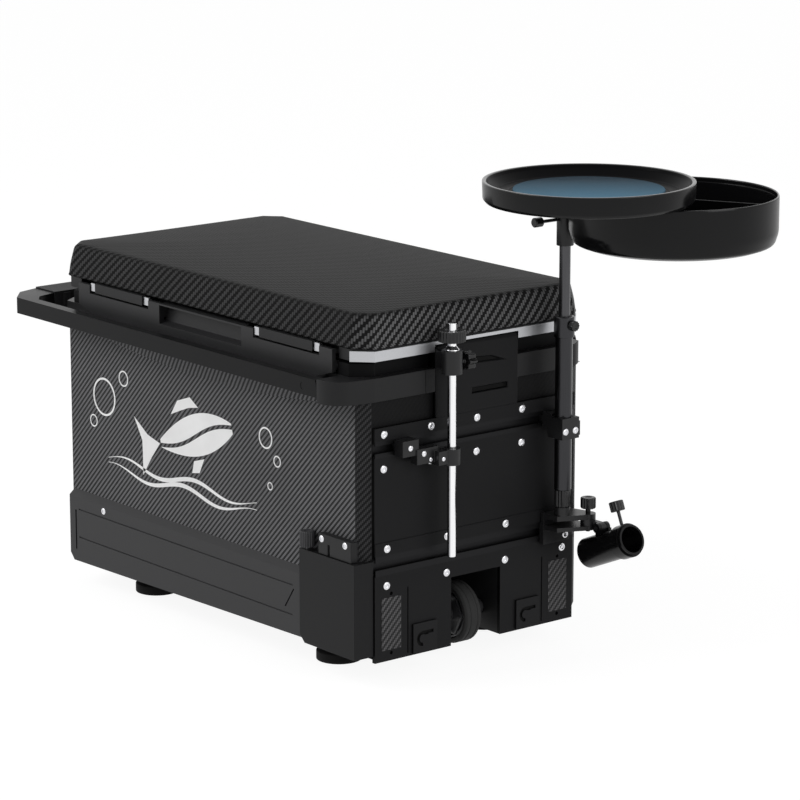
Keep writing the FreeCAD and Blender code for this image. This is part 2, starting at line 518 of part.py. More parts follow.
save("corner_knob", knob("z", 8.9, (knob_x, knob_y), BRACKET_TOP + 4.0, BRACKET_TOP + 22.5, knob_screw,
                         BRACKET_TOP - knob_deep + 1))


def flat_screw(x, z, face):
    """A round-headed screw on the front side, seated on its face."""
    return bar("y", 4.2, (x, z), -face - 1.5, -face)


side_screws = [flat_screw(SKIRT_LEFT + 75, SKIRT_TOP - 14, SKIRT_FACE),
               flat_screw(CLAMP_LEFT + 7, CLAMP_TOP - 6, CLAMP_FACE),
               flat_screw(CLAMP_RIGHT - 11, CLAMP_TOP - 5.5, CLAMP_FACE)]

# Feet: four round rubber pads on stems
foot_points = [(0, 0), (14, 0), (14, -12), (FOOT_RADIUS, -17), (FOOT_RADIUS, -FOOT_DROP + 2),
               (FOOT_RADIUS - 2, -FOOT_DROP), (0, -FOOT_DROP)]
feet = [turned(foot_points, (sx * FOOT_X, sy * FOOT_Y)) for sx in (-1, 1) for sy in (-1, 1)]
save("feet", *feet)

# Wheel: a rubber tyre on a moulded hub with six-sided caps, turning on a steel axle through the cheeks
half = WHEEL_WIDTH / 2
rim = WHEEL_RADIUS - TYRE_DEPTH
to_wheel = FreeCAD.Placement(Vector(WHEEL_X, 0, WHEEL_Z), FreeCAD.Rotation(Vector(1, 0, 0), 90))


def wheel_piece(points):
    solid = turned(points)
    solid.Placement = to_wheel
    return solid


save("wheel_tyre", wheel_piece([(rim, -half + 2), (rim + 1, -half), (WHEEL_RADIUS - 4, -half),
                                (WHEEL_RADIUS, -half + 4), (WHEEL_RADIUS, half - 4),
                                (WHEEL_RADIUS - 4, half), (rim + 1, half), (rim, half - 2)]))
hub_half, web_half, boss_radius = WELL_HALF_WIDTH - RUN_GAP, 4.0, 9.0
bore = AXLE_RADIUS + FIT
hub = wheel_piece([(bore, -hub_half), (boss_radius, -hub_half), (boss_radius, -web_half),
                   (rim - 3, -web_half), (rim - 3, -half + 2), (rim, -half + 2), (rim, half - 2),
                   (rim - 3, half - 2), (rim - 3, web_half), (boss_radius, web_half),
                   (boss_radius, hub_half), (bore, hub_half)])
six = [math.radians(60 * n) for n in range(7)]
cap = Part.Face(Part.makePolygon([Vector(WHEEL_X + HUB_CAP * math.cos(a), -half + 1,
                                         WHEEL_Z + HUB_CAP * math.sin(a)) for a in six]))
cap = cap.extrude(Vector(0, 3.0, 0)).cut(bar("y", bore, (WHEEL_X, WHEEL_Z), -half, half))
save("wheel_hub", fuse(hub, cap, mirrored(cap)))
save("wheel_axle", bar("y", AXLE_RADIUS, (WHEEL_X, WHEEL_Z), -well_wall, well_wall))

# Catch plates and bars: steel ears on the neck that hold the bars which the lid sits over
plate_foot, plate_under, plate_over = NECK_TOP - 12, HINGE_Z - 7.5, HINGE_Z - 4
plate_points = [(-NECK_HALF_WIDTH, plate_foot), (-NECK_HALF_WIDTH - 3, plate_foot),
                (-NECK_HALF_WIDTH - 3, plate_under), (-HINGE_Y - 2, plate_under), (-HINGE_Y - 2, HINGE_Z + 2),
                (-HINGE_Y + 2, HINGE_Z + 2), (-HINGE_Y + 2, plate_over), (-NECK_HALF_WIDTH - 2, plate_over),
                (-NECK_HALF_WIDTH - 2, NECK_TOP + 3), (-NECK_HALF_WIDTH, NECK_TOP)]
plates, bars, saddles = [], [], []
leg_in, leg_out, leg_low, leg_slot = -HINGE_Y + 4.5, -HINGE_Y - 4.0, WINDOW_LOW + 2.5, BAR_RADIUS + 0.6
saddle_low = plate_over + 0.7
saddle_points = [(-LID_EDGE, saddle_low), (leg_in, saddle_low), (leg_in, leg_low), (leg_out, leg_low),
                 (leg_out, LID_TOP), (-LID_EDGE, LID_TOP)]
for sx in (-1, 1):
    for x in (PLATE_NEAR, PLATE_FAR):
        middle = sx * x
        plates.append(profile_x(plate_points, middle - PLATE_WIDTH / 2, middle + PLATE_WIDTH / 2))
    x0, x1 = sorted((sx * (PLATE_NEAR + PLATE_WIDTH / 2), sx * (PLATE_FAR - PLATE_WIDTH / 2)))
    bars.append(bar("x", BAR_RADIUS, (-HINGE_Y, HINGE_Z), x0, x1))
    x0, x1 = sorted((sx * (PLATE_NEAR + PLATE_WIDTH / 2 + 1), sx * (PLATE_FAR - PLATE_WIDTH / 2 - 1)))
    saddle = profile_x(saddle_points, x0, x1)
    saddle = saddle.cut(bar("x", BAR_RADIUS + 0.1, (-HINGE_Y, HINGE_Z), x0 - 1, x1 + 1))
    saddle = saddle.cut(block(x0 - 1, x1 + 1, -HINGE_Y - leg_slot, -HINGE_Y + leg_slot, leg_low - 1, HINGE_Z))
    saddles.append(saddle)
save("catch_plates", *(plates + [mirrored(p) for p in plates]))
save("catch_bars", *(bars + [mirrored(b) for b in bars]))
save("lid_saddles", *(saddles + [mirrored(s) for s in saddles]))

# Lid: a moulded shell, narrower where the levers lie, with metal trim round its +X end
lid = octagon(LID_HALF_LENGTH, LID_HALF_WIDTH, LID_CORNER - 3, LID_CORNER - 3, LID_LOW, LID_TOP)
for side in (-1, 1):
    y0, y1 = sorted((side * LID_EDGE, side * (LID_HALF_WIDTH + 1)))
    lid = lid.cut(block(-pillar_left - 3, pillar_left + 3, y0, y1, LID_LOW - 1, LID_TOP + 1))
lid = lid.cut(block(NECK_HALF_LENGTH - RUN_GAP, PANEL_FACE + 5, -BLOCK_HALF_WIDTH - 1, BLOCK_HALF_WIDTH + 1,
                    LID_LOW - 1, BLOCK_TOP))
lid_core = rounded(TUB_HALF_LENGTH - 4, TUB_HALF_WIDTH - 4, TUB_CORNER, LID_LOW - 8, LID_TOP - 3)
save("lid_shell", lid.cut(lid_core))
lid_pan = lid_core.cut(rounded(TUB_HALF_LENGTH - 7, TUB_HALF_WIDTH - 7, TUB_CORNER - 3, LID_LOW - 5, LID_TOP))
save("lid_liner", lid_pan)
save("lid_foam", rounded(TUB_HALF_LENGTH - 7, TUB_HALF_WIDTH - 7, TUB_CORNER - 3, LID_LOW - 5, LID_TOP - 3))
gasket = rounded(TUB_HALF_LENGTH + 14, TUB_HALF_WIDTH + 14, TUB_CORNER + 6, NECK_TOP + RUN_GAP, LID_LOW)
gasket = gasket.cut(rounded(TUB_HALF_LENGTH + 6, TUB_HALF_WIDTH + 6, TUB_CORNER, NECK_TOP, LID_LOW + 1))
save("lid_gasket", gasket)
band = octagon(LID_HALF_LENGTH + TRIM, LID_HALF_WIDTH + TRIM, LID_CORNER, LID_CORNER, LID_LOW, TRIM_TOP)
band = band.cut(octagon(LID_HALF_LENGTH, LID_HALF_WIDTH, LID_CORNER - 3, LID_CORNER - 3,
                        LID_LOW - 1, TRIM_TOP + 1))
trim_end = LID_HALF_LENGTH + TRIM + 1
trim = band.common(block(LID_HALF_LENGTH - TRIM_LENGTH, trim_end, -CUSHION_HALF_WIDTH, CUSHION_HALF_WIDTH,
                         LID_LOW, TRIM_TOP))
save("lid_trim", trim.cut(block(LID_HALF_LENGTH - 1, trim_end, -BLOCK_HALF_WIDTH - 1, BLOCK_HALF_WIDTH + 1,
                                LID_LOW - 1, BLOCK_TOP)))

# Seat cushion: crowned, with its long sides drawn in a little between the cut corners
cushion_levels = [(0.0, 0.0, -2.5), (4.5, 0.0, 0.0), (20.0, -1.0, -3.0), (33.0, -2.5, -6.5),
                  (38.5, -5.0, -9.5), (42.0, -10.0, -15.0), (43.7, -24.0, -30.0),
                  (CUSHION_HEIGHT, -100.0, -80.0)]


def cushion_wire(rise, in_x, in_y):
    """One level of the cushion: four gently hollow sides and four cut corners."""
    hx, hy = CUSHION_HALF_LENGTH + in_x, CUSHION_HALF_WIDTH + in_y
    cut = LID_CORNER
    z = LID_TOP + rise
    points = [Vector(x, y, z) for x, y in corners(hx, hy, cut, cut)]
    middles = {1: Vector(0, hy - CUSHION_DRAW_IN, z), 3: Vector(-hx + CUSHION_DRAW_IN, 0, z),
               5: Vector(0, -hy + CUSHION_DRAW_IN, z), 7: Vector(hx - CUSHION_DRAW_IN, 0, z)}
    edges = []
    for n in range(8):
        start, end = points[n], points[(n + 1) % 8]
        if n in middles:
            edges.append(Part.Arc(start, middles[n], end).toShape())
        else:
            edges.append(Part.makeLine(start, end))
    return Part.Wire(edges)


cushion = Part.makeLoft([cushion_wire(*level) for level in cushion_levels], True, True)
save("seat_cushion", cushion)


# Release levers: a long flap on each side with a finger pocket, turning on pins in the neck's pillars
def lever():
    face = block(-LEVER_HALF_LENGTH, LEVER_HALF_LENGTH, -LEVER_FACE, -LEVER_BACK, LEVER_LOW, LEVER_TOP)
    for sx in (-1, 1):
        low_corner = Part.Face(Part.makePolygon([
            Vector(sx * LEVER_HALF_LENGTH, -LEVER_FACE - 1, LEVER_LOW),
            Vector(sx * LEVER_HALF_LENGTH, -LEVER_FACE - 1, LEVER_LOW + 11),
            Vector(sx * (LEVER_HALF_LENGTH - 38), -LEVER_FACE - 1, LEVER_LOW),
            Vector(sx * LEVER_HALF_LENGTH, -LEVER_FACE - 1, LEVER_LOW)])).extrude(Vector(0, 20, 0))
        face = face.cut(low_corner)
        x0, x1 = sorted((sx * (PLATE_NEAR - PLATE_WIDTH / 2 - 1), sx * (PLATE_FAR + PLATE_WIDTH / 2 + 1)))
        face = face.cut(block(x0, x1, -LEVER_FACE - 1, -LEVER_BACK + 1, WINDOW_LOW, LEVER_TOP + 1))
        x0, x1 = sorted((sx * LEVER_HALF_LENGTH, sx * (LEVER_HALF_LENGTH - ear_width)))
        face = fuse(face, block(x0, x1, -LEVER_BACK, -LEVER_PIVOT_Y + 4,
                                LEVER_PIVOT_Z - 5, LEVER_PIVOT_Z + 5))
    cup_back = -LEVER_FACE + POCKET_DEPTH
    cup = block(-POCKET_HALF - 2, POCKET_HALF + 2, -LEVER_BACK, cup_back + 2, POCKET_LOW - 2, LEVER_TOP)
    scoop = profile_x([(-LEVER_FACE - 1, POCKET_LOW), (cup_back - 3, POCKET_LOW + 3),
                       (cup_back, LEVER_TOP - 2), (-LEVER_FACE - 1, LEVER_TOP - 2)],
                      -POCKET_HALF, POCKET_HALF)
    pin_hole = bar("x", LEVER_PIN + FIT, (-LEVER_PIVOT_Y, LEVER_PIVOT_Z),
                   -LEVER_HALF_LENGTH, LEVER_HALF_LENGTH)
    return fuse(face, cup).cut(scoop).cut(pin_hole)


save("lever_front", lever())
save("lever_rear", mirrored(lever()))


# Tow handle: a loop round the -X end whose arms turn on pins in the collar; the front arm has a tail
# with a square lower corner that meets the collar's boss, so the handle stops level
def handle():
    inner_end = -HANDLE_END + GRIP_WIDTH
    corner_y = -HANDLE_OUT + 50
    outer = [(HANDLE_PIVOT_X, -HANDLE_OUT), (-HANDLE_END + 35, -HANDLE_OUT),
             (-HANDLE_END + 8, -HANDLE_OUT + 22), (-HANDLE_END, corner_y)]
    inner = [(HANDLE_PIVOT_X, -HANDLE_IN), (inner_end + 23, -HANDLE_IN), (inner_end + 7, -HANDLE_IN + 12),
             (inner_end, corner_y)]
    path = outer + [(x, -y) for x, y in reversed(outer)] + [(x, -y) for x, y in inner] + list(reversed(inner))
    loop = outline(path, HANDLE_LOW, HANDLE_HIGH)
    pivot = (HANDLE_PIVOT_X, pivot_z)
    tail = bar("y", HANDLE_TAIL, pivot, -HANDLE_OUT, -HANDLE_IN)
    tail = tail.common(block(HANDLE_PIVOT_X, PANEL_FACE, -HANDLE_OUT, -HANDLE_IN, pivot_z, HANDLE_HIGH))
    heel = block(HANDLE_PIVOT_X, HANDLE_PIVOT_X + HANDLE_TAIL, -HANDLE_OUT, -HANDLE_IN, HANDLE_LOW, pivot_z)
    rear_end = bar("y", (HANDLE_HIGH - HANDLE_LOW) / 2, pivot, HANDLE_IN, HANDLE_OUT)
    loop = fuse(loop, tail, heel, rear_end)
    return loop.cut(bar("y", HANDLE_PIN + FIT, pivot, -HANDLE_OUT - 1, HANDLE_OUT + 1))


save("pull_handle", handle())
grip_x, grip_half = -HANDLE_END + GRIP_WIDTH, HANDLE_OUT - 52.0
grip = block(-HANDLE_END - GRIP_SKIN, grip_x + GRIP_SKIN, -grip_half, grip_half,
             HANDLE_LOW - GRIP_SKIN, HANDLE_HIGH + GRIP_SKIN)
rib_count = 14
rib_pitch = (2 * grip_half - 16.0) / rib_count
for n in range(rib_count):
    y = rib_pitch * (n - (rib_count - 1) / 2)
    grip = grip.fuse(block(grip_x, grip_x + GRIP_SKIN + 2, y - 5, y + 5, HANDLE_LOW + 1, HANDLE_HIGH - 1))
grip = grip.cut(block(-HANDLE_END, grip_x, -HANDLE_OUT, HANDLE_OUT, HANDLE_LOW, HANDLE_HIGH))
save("handle_grip", grip.removeSplitter())


def shoulder_pin():
    pin = bar("y", HANDLE_PIN, (HANDLE_PIVOT_X, pivot_z), -HANDLE_OUT + RUN_GAP, -HALF_WIDTH)
    return fuse(pin, bar("y", 7.0, (HANDLE_PIVOT_X, pivot_z), -HANDLE_IN + RUN_GAP, -HALF_WIDTH - 1))


save("handle_pins", shoulder_pin(), mirrored(shoulder_pin()))

# Rod clamps and the round steel rod
rod_at = (ROD_X, ROD_Y)
thumb_z = BLOCK_EDGE - 12.0
upper_clamp = fuse(bar("z", ROD_CLAMP_RADIUS, rod_at, ROD_CLAMP_LOW, ROD_CLAMP_HIGH),
                   block(BLOCK_FACE, ROD_X, ROD_Y - 6, ROD_Y + 6, ROD_CLAMP_LOW + 3, ROD_CLAMP_HIGH - 3))
upper_clamp = upper_clamp.cut(bar("z", ROD_RADIUS + FIT, rod_at, ROD_CLAMP_LOW - 1, ROD_CLAMP_HIGH + 1))
thumb_shank = 2.5
upper_clamp = upper_clamp.cut(bar("y", thumb_shank + FIT, (ROD_X, thumb_z), ROD_Y, ROD_Y + 20))
save("rod_upper_clamp", upper_clamp)
save("rod_clamp_knob", knob("y", 11.0, (ROD_X, thumb_z), ROD_Y + 18, ROD_Y + 29, thumb_shank,
                            ROD_Y + ROD_RADIUS + RUN_GAP))
upper_middle = (UPPER_RAIL_LOW + UPPER_RAIL_HIGH) / 2
lower_middle = (LOWER_RAIL_LOW + LOWER_RAIL_HIGH) / 2


def rail_foot(y0, y1, middle, head_half):
    """The T-shaped foot of a bracket: a neck in the rail's slot and a head behind its lips."""
    neck_half = RAIL_SLOT / 2 - RUN_GAP
    back = PANEL_FACE - RAIL_DEPTH + RAIL_WALL + RUN_GAP
    lip = PANEL_FACE - RAIL_WALL - RUN_GAP
    return fuse(block(back, lip, y0, y1, middle - head_half, middle + head_half),
                block(back, PANEL_FACE + RUN_GAP, y0, y1, middle - neck_half, middle + neck_half))


base_left, base_right = ROD_Y - 66.0, ROD_Y - 43.0
face = PANEL_FACE + RUN_GAP
clamp_face = PANEL_FACE + 16.0
lower_clamp = fuse(block(face, clamp_face, base_left, base_right, UPPER_RAIL_LOW, UPPER_RAIL_HIGH - 1),
                   rail_foot(base_left + 2, base_right - 2, upper_middle, 7.0),
                   block(clamp_face - 10, clamp_face + 2, base_right - 4, ROD_Y - 16,
                         ROD_RING_LOW + 5, ROD_RING_HIGH + 4),
                   block(clamp_face - 5, ROD_X + 4, ROD_Y - 22, ROD_Y, ROD_RING_LOW + 2, ROD_RING_HIGH - 1),
                   bar("z", 10.0, rod_at, ROD_RING_LOW, ROD_RING_HIGH))
lower_clamp = lower_clamp.cut(bar("z", ROD_RADIUS + FIT, rod_at, ROD_RING_LOW - 1, ROD_RING_HIGH + 1))
save("rod_lower_clamp", lower_clamp)
clamp_heads = [bar("x", 3.4, (base_left + 11, upper_middle - 0.25), clamp_face, clamp_face + 3),
               bar("x", 3.4, (base_right + 6, ROD_RING_HIGH - 2), clamp_face + 2, clamp_face + 5),
               bar("x", 2.6, (base_right + 16, ROD_RING_HIGH - 10), clamp_face + 2, clamp_face + 5),
               bar("x", 2.6, (ROD_Y - 15, ROD_RING_HIGH - 10), ROD_X + 4, ROD_X + 7)]
save("round_screws", *(panel_screws + side_screws + [mirrored(side_screws[0])] + clamp_heads))
rod = fuse(bar("z", ROD_RADIUS, rod_at, ROD_LOW, ROD_HIGH),
           Part.makeCone(9.0, ROD_RADIUS, 5.0, Vector(ROD_X, ROD_Y, ROD_CLAMP_HIGH + RUN_GAP)))
save("side_rod", rod)
stop = bar("z", STOP_RADIUS, rod_at, ROD_HIGH - 21, ROD_HIGH - 8)
stop = stop.makeChamfer(1.2, [e for e in stop.Edges if e.Closed])
save("rod_stop_knob", stop.cut(bar("z", ROD_RADIUS, rod_at, ROD_HIGH - 26, ROD_HIGH)))

# Pole: a lower tube held by a clamp on the upper rail and standing on the lower bracket
pole_at = (POLE_X, POLE_Y)
lock_z = LOCK_TOP - 9.0
lock_shank = 2.5
tube = fuse(bar("z", POLE_RADIUS, pole_at, POLE_LOW, POLE_HIGH),
            bar("z", COLLAR_RADIUS, pole_at, POLE_HIGH, LOCK_TOP))
tube = tube.cut(bar("z", MAST_RADIUS + FIT, pole_at, POLE_LOW + 8, LOCK_TOP + 1))
tube = tube.cut(bar("x", lock_shank + FIT, (POLE_Y, lock_z), POLE_X, POLE_X + 20))
foot_shank = 3.0
tube = tube.cut(bar("z", foot_shank + FIT, pole_at, POLE_LOW - 1, POLE_LOW + 8))
save("pole_tube", tube)
lock_face = POLE_X + COLLAR_RADIUS + 1
save("pole_lock_knob", knob("x", 6.2, (POLE_Y, lock_z), lock_face, lock_face + 7, lock_shank,
                            POLE_X + MAST_RADIUS + RUN_GAP))
saddle_face = POLE_X + 12.0
mid_clamp = fuse(block(face, clamp_face, POLE_Y - 10.5, POLE_Y + 12, UPPER_RAIL_LOW, UPPER_RAIL_HIGH - 1),
                 rail_foot(POLE_Y - 10, POLE_Y + 10, upper_middle, 7.0),
                 block(clamp_face - 5, saddle_face, POLE_Y - 12, POLE_Y + 14,
                       UPPER_RAIL_LOW - 9.5, UPPER_RAIL_HIGH - 4),
                 block(clamp_face, saddle_face - 5, POLE_Y + 14, POLE_Y + 20,
                       UPPER_RAIL_LOW - 8, UPPER_RAIL_HIGH - 10.5))
save("pole_clamp", mid_clamp.cut(bar("z", POLE_RADIUS, pole_at, POLE_LOW, POLE_HIGH)))
plate_face = PANEL_FACE + 7.0
carriage_nuts = [bar("x", 4.2, (POLE_Y - 7.0, UPPER_RAIL_LOW), saddle_face, saddle_face + 4),
                 bar("x", 4.2, (POLE_Y + 8.0, UPPER_RAIL_LOW), saddle_face, saddle_face + 4),
                 bar("x", 4.2, (BRACKET_FAR - 6.0, LOWER_RAIL_LOW + 4.5), plate_face, plate_face + 3)]
save("carriage_nuts", *carriage_nuts)

# Lower bracket: a plate on the lower rail with a fork; the pole stands on its upper ear
bolt_at = (BOLT_X, BOLT_Y)
clear_face = PANEL_FACE + 1 + SCREW_HEAD_HEIGHT + RUN_GAP
ear_points = [(clear_face, BRACKET_NEAR), (POLE_X + 4, BRACKET_NEAR + 2), (BOLT_X + 7, BOLT_Y - 6),
              (BOLT_X - 3, BOLT_Y + 8.4), (clear_face, BRACKET_FAR)]


def fork_ear(low, high):
    return fuse(outline(ear_points, low, high), bar("z", EAR_RADIUS, bolt_at, low, high))


lower_face = block(face, plate_face, BRACKET_NEAR, BRACKET_FAR,
                   LOWER_RAIL_LOW - 2.5, LOWER_RAIL_HIGH - RUN_GAP)
stand_top = FORK_HIGH + 10.0
holder_bracket = fuse(lower_face,
                      block(clear_face, plate_face, BRACKET_NEAR, BRACKET_FAR, FORK_LOW, FORK_HIGH),
                      rail_foot(BRACKET_NEAR + 4, BRACKET_FAR - 4, lower_middle, 9.0),
                      fork_ear(FORK_LOW, FORK_GAP_LOW), fork_ear(FORK_GAP_HIGH, FORK_HIGH),
                      bar("z", 9.0, pole_at, FORK_HIGH - 1, stand_top))
bolt_shank = 3.0
holder_bracket = holder_bracket.cut(bar("z", bolt_shank + FIT, bolt_at, FORK_LOW - 1, FORK_HIGH + 1))
holder_bracket = holder_bracket.cut(bar("z", foot_shank + FIT, pole_at, FORK_GAP_HIGH - 1, stand_top + 1))
save("holder_bracket", holder_bracket)
save("pole_foot_knob", fuse(bar("z", 9.5, pole_at, stand_top + RUN_GAP, POLE_LOW - RUN_GAP),
                            bar("z", foot_shank, pole_at, FORK_GAP_HIGH + 1, POLE_LOW + 7)))
save("pivot_knob", knob("z", 9.0, bolt_at, FORK_HIGH + 6, FORK_HIGH + 19, bolt_shank, FORK_LOW - 3))

# Holder link: a tongue in the fork with a round end that carries the tilting tube
link = fuse(bar("z", EAR_RADIUS, bolt_at, FORK_GAP_LOW + RUN_GAP, FORK_GAP_HIGH - RUN_GAP),
            outline([(BOLT_X, BOLT_Y - 4.5), (TILT_X - 8, TILT_Y - 3.7), (TILT_X, TILT_Y - 3.7),
                     (TILT_X, TILT_Y + 3.7), (TILT_X - 8, TILT_Y + 3.7), (BOLT_X, BOLT_Y + 8.5)],
                    FORK_GAP_LOW + RUN_GAP, FORK_GAP_HIGH - RUN_GAP - 2.5),
            bar("y", 5.5, (TILT_X, TILT_Z), TILT_Y - 3.7, TILT_Y + 3.7))
link = link.cut(bar("z", bolt_shank + FIT, bolt_at, FORK_LOW, FORK_HIGH))
tilt_pin = 2.5
save("holder_link", fuse(link, bar("y", tilt_pin, (TILT_X, TILT_Z), TILT_Y - 9.5, TILT_Y + 9.5)))

# Holder tube: an open tube for a rod butt, tilting on a pin, with a thumb screw near its mouth
slope = math.radians(HOLDER_TILT)
along = Vector(math.cos(slope), 0, math.sin(slope))
upward = Vector(-math.sin(slope), 0, math.cos(slope))
holder_start = Vector(TILT_X, TILT_Y, TILT_Z) - upward * HOLDER_DROP - along * HOLDER_BACK
grip_at = holder_start + along * (BAND_FROM + BAND_TO) / 2
holder = Part.makeCylinder(HOLDER_RADIUS, HOLDER_LENGTH, holder_start, along)
holder = fuse(holder, Part.makeCylinder(HOLDER_RADIUS + 2, BAND_TO - BAND_FROM,
                                        holder_start + along * BAND_FROM, along))
ears = []
for side in (-1, 1):
    y0, y1 = sorted((TILT_Y + side * 4.0, TILT_Y + side * 8.5))
    ear = fuse(bar("y", 6.0, (TILT_X, TILT_Z), y0, y1),
               block(TILT_X - 1, TILT_X + 8, y0, y1, TILT_Z - 18.5, TILT_Z))
    ears.append(ear)
holder = fuse(holder, *ears)
holder = holder.cut(Part.makeCylinder(HOLDER_BORE, HOLDER_LENGTH + 2, holder_start - along, along))
holder = holder.cut(bar("y", tilt_pin + FIT, (TILT_X, TILT_Z), TILT_Y - 20, TILT_Y + 20))
screw_shank = 2.0
holder = holder.cut(Part.makeCylinder(screw_shank + FIT, 30, grip_at, upward))
save("holder_tube", holder)
head = Part.makeCylinder(8.5, 12.0, grip_at + upward * 36.0, upward)
head = head.makeChamfer(1.2, [e for e in head.Edges if e.Closed])
save("butt_screw", fuse(head, Part.makeCylinder(screw_shank, 21.0, grip_at + upward * 16.0, upward)))

# Mast: the upper tube that slides in the pole, with its head clamp and T-shaped screw
head_z, head_shank = HEAD_HIGH - 5.0, 2.0
save("mast_tube", bar("z", MAST_RADIUS, pole_at, MAST_LOW, MAST_HIGH).cut(
    bar("z", MAST_RADIUS - 1.5, pole_at, MAST_LOW - 1, MAST_HIGH - 3)))
head_clamp = bar("z", HEAD_RADIUS, pole_at, HEAD_LOW, HEAD_HIGH)
head_clamp = head_clamp.cut(bar("z", MAST_RADIUS, pole_at, HEAD_LOW - 1, HEAD_HIGH + 1))
head_clamp = head_clamp.cut(bar("y", head_shank + FIT, (POLE_X, head_z), POLE_Y - 20, POLE_Y))
save("head_clamp", head_clamp)
save("head_knob", knob("y", 5.6, (POLE_X, head_z), POLE_Y - 48, POLE_Y - 36, head_shank,
                       POLE_Y - MAST_RADIUS - RUN_GAP))


# Tray: shallow, with a flared inside, a soft mat and a socket that sits on the mast
def off_pole(reach, angle):
    """The plan point at a distance and direction from the pole."""
    turn = math.radians(angle)
    return (POLE_X + reach * math.cos(turn), POLE_Y + reach * math.sin(turn))


tray_at = off_pole(TRAY_REACH, TRAY_ANGLE)
tray_floor = TRAY_LOW + 10.0
tray = turned([(0, tray_floor), (MAT_RADIUS + 4, tray_floor), (TRAY_RADIUS - 16.5, tray_floor + 2),
               (TRAY_RADIUS - 6.5, TRAY_HIGH - 4), (TRAY_RADIUS - 3.5, TRAY_HIGH), (TRAY_RADIUS, TRAY_HIGH),
               (TRAY_RADIUS - 1.5, TRAY_LOW + 3), (TRAY_RADIUS - 4, TRAY_LOW), (TRAY_RADIUS - 12.5, TRAY_LOW),
               (TRAY_RADIUS - 16.5, tray_floor - 3), (0, tray_floor - 3)], tray_at)
socket = bar("z", HEAD_RADIUS, pole_at, HEAD_HIGH + 11.0 + RUN_GAP, tray_floor - 1)
tray = fuse(tray, socket).cut(bar("z", MAST_RADIUS + FIT, pole_at, HEAD_HIGH, MAST_HIGH + RUN_GAP))
save("tray", tray)
save("tray_mat", bar("z", MAT_RADIUS, tray_at, tray_floor, tray_floor + 4.5))

# Bowl: deep with a rounded bottom and a dividing wall, hung from a ring on the mast
bowl_at = off_pole(BOWL_REACH, BOWL_ANGLE)
bowl_low = BOWL_HIGH - BOWL_DEPTH


def bowl_form(radius, corner, low, high):
    """A round pot with a rounded bottom edge."""
    pot = bar("z", radius, bowl_at, low, high)
    return pot.makeFillet(corner, [e for e in pot.Edges if e.Closed and abs(e.BoundBox.ZMax - low) < 0.1])


bowl = bowl_form(TRAY_RADIUS, BOWL_ROUND, bowl_low, BOWL_HIGH)
inside = bowl_form(TRAY_RADIUS - BOWL_WALL, BOWL_ROUND - BOWL_WALL, bowl_low + BOWL_WALL, BOWL_HIGH + 1)
divider = block(-TRAY_RADIUS, TRAY_RADIUS, -1.2, 1.2, bowl_low + 1, BOWL_HIGH - 6)
divider.rotate(Vector(0, 0, 0), Vector(0, 0, 1), 28)
divider.translate(Vector(bowl_at[0], bowl_at[1], 0))
bowl = fuse(bowl.cut(inside), divider.common(inside))
save("bowl", bowl)
ring_low, ring_high = HEAD_HIGH + RUN_GAP, HEAD_HIGH + 11.0
hanger = block(0, BOWL_REACH - TRAY_RADIUS + 6, -9, 9, ring_low, ring_high)
strap = block(BOWL_REACH - TRAY_RADIUS - 4, BOWL_REACH - TRAY_RADIUS + 10, -22, 22, ring_low, ring_high)
for piece in (hanger, strap):
    piece.rotate(Vector(0, 0, 0), Vector(0, 0, 1), BOWL_ANGLE)
    piece.translate(Vector(POLE_X, POLE_Y, 0))
strap = strap.common(bar("z", TRAY_RADIUS + 2.5, bowl_at, ring_low, ring_high))
hanger = fuse(hanger, strap, bar("z", HEAD_RADIUS, pole_at, ring_low, ring_high))
hanger = hanger.cut(bar("z", TRAY_RADIUS, bowl_at, bowl_low, BOWL_HIGH))
save("bowl_hanger", hanger.cut(bar("z", MAST_RADIUS + FIT, pole_at, ring_low - 1, ring_high + 1)))
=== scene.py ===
"""Fishing seat box: the looks of each piece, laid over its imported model.

Lengths are in metres. X runs along the box towards the end with the rails, -Y is the front long side
and Z is up. The file follows the box as it is put together, from its base to the trays on the mast.
"""
import math

import bmesh
import bpy
from mathutils import Matrix, Vector


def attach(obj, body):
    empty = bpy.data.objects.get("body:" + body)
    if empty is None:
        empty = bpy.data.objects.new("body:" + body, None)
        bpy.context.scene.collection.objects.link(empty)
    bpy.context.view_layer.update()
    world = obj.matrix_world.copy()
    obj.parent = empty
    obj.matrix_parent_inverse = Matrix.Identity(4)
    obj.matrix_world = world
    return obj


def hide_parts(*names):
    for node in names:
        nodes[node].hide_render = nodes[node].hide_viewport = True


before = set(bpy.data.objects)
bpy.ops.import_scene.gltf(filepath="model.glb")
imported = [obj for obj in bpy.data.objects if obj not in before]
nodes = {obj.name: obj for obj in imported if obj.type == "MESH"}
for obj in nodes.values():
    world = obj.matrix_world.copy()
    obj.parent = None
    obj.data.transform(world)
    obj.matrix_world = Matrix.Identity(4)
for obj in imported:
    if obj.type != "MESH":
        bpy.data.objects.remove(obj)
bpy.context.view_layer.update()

# Table and room: a white table under soft studio light. A large lamp hangs over the front left corner, a
# weaker one stands to the right, and the white room shows in whatever shines.
TABLE_HEIGHT = -0.028
TABLE_HALF = 14.0
TABLE_WHITE = (0.82, 0.82, 0.82, 1)
TABLE_GLOW = 1.14
GLOW_SHARE = 0.8
ROOM_DIM, ROOM_BRIGHT = 0.42, 1.0
scene = bpy.context.scene
scene.view_settings.view_transform = "Standard"


def tone(red, green, blue):
    """A colour as a screen shows it, 0 to 255, turned into the linear numbers a shader takes."""
    linear = [((c / 255 + 0.055) / 1.055) ** 2.4 if c > 10 else c / 3295 for c in (red, green, blue)]
    return (*linear, 1.0)


def joined(tree, *pairs):
    """Joins sockets of a node tree, given as (from, to) pairs."""
    for source, target in pairs:
        tree.links.new(source, target)


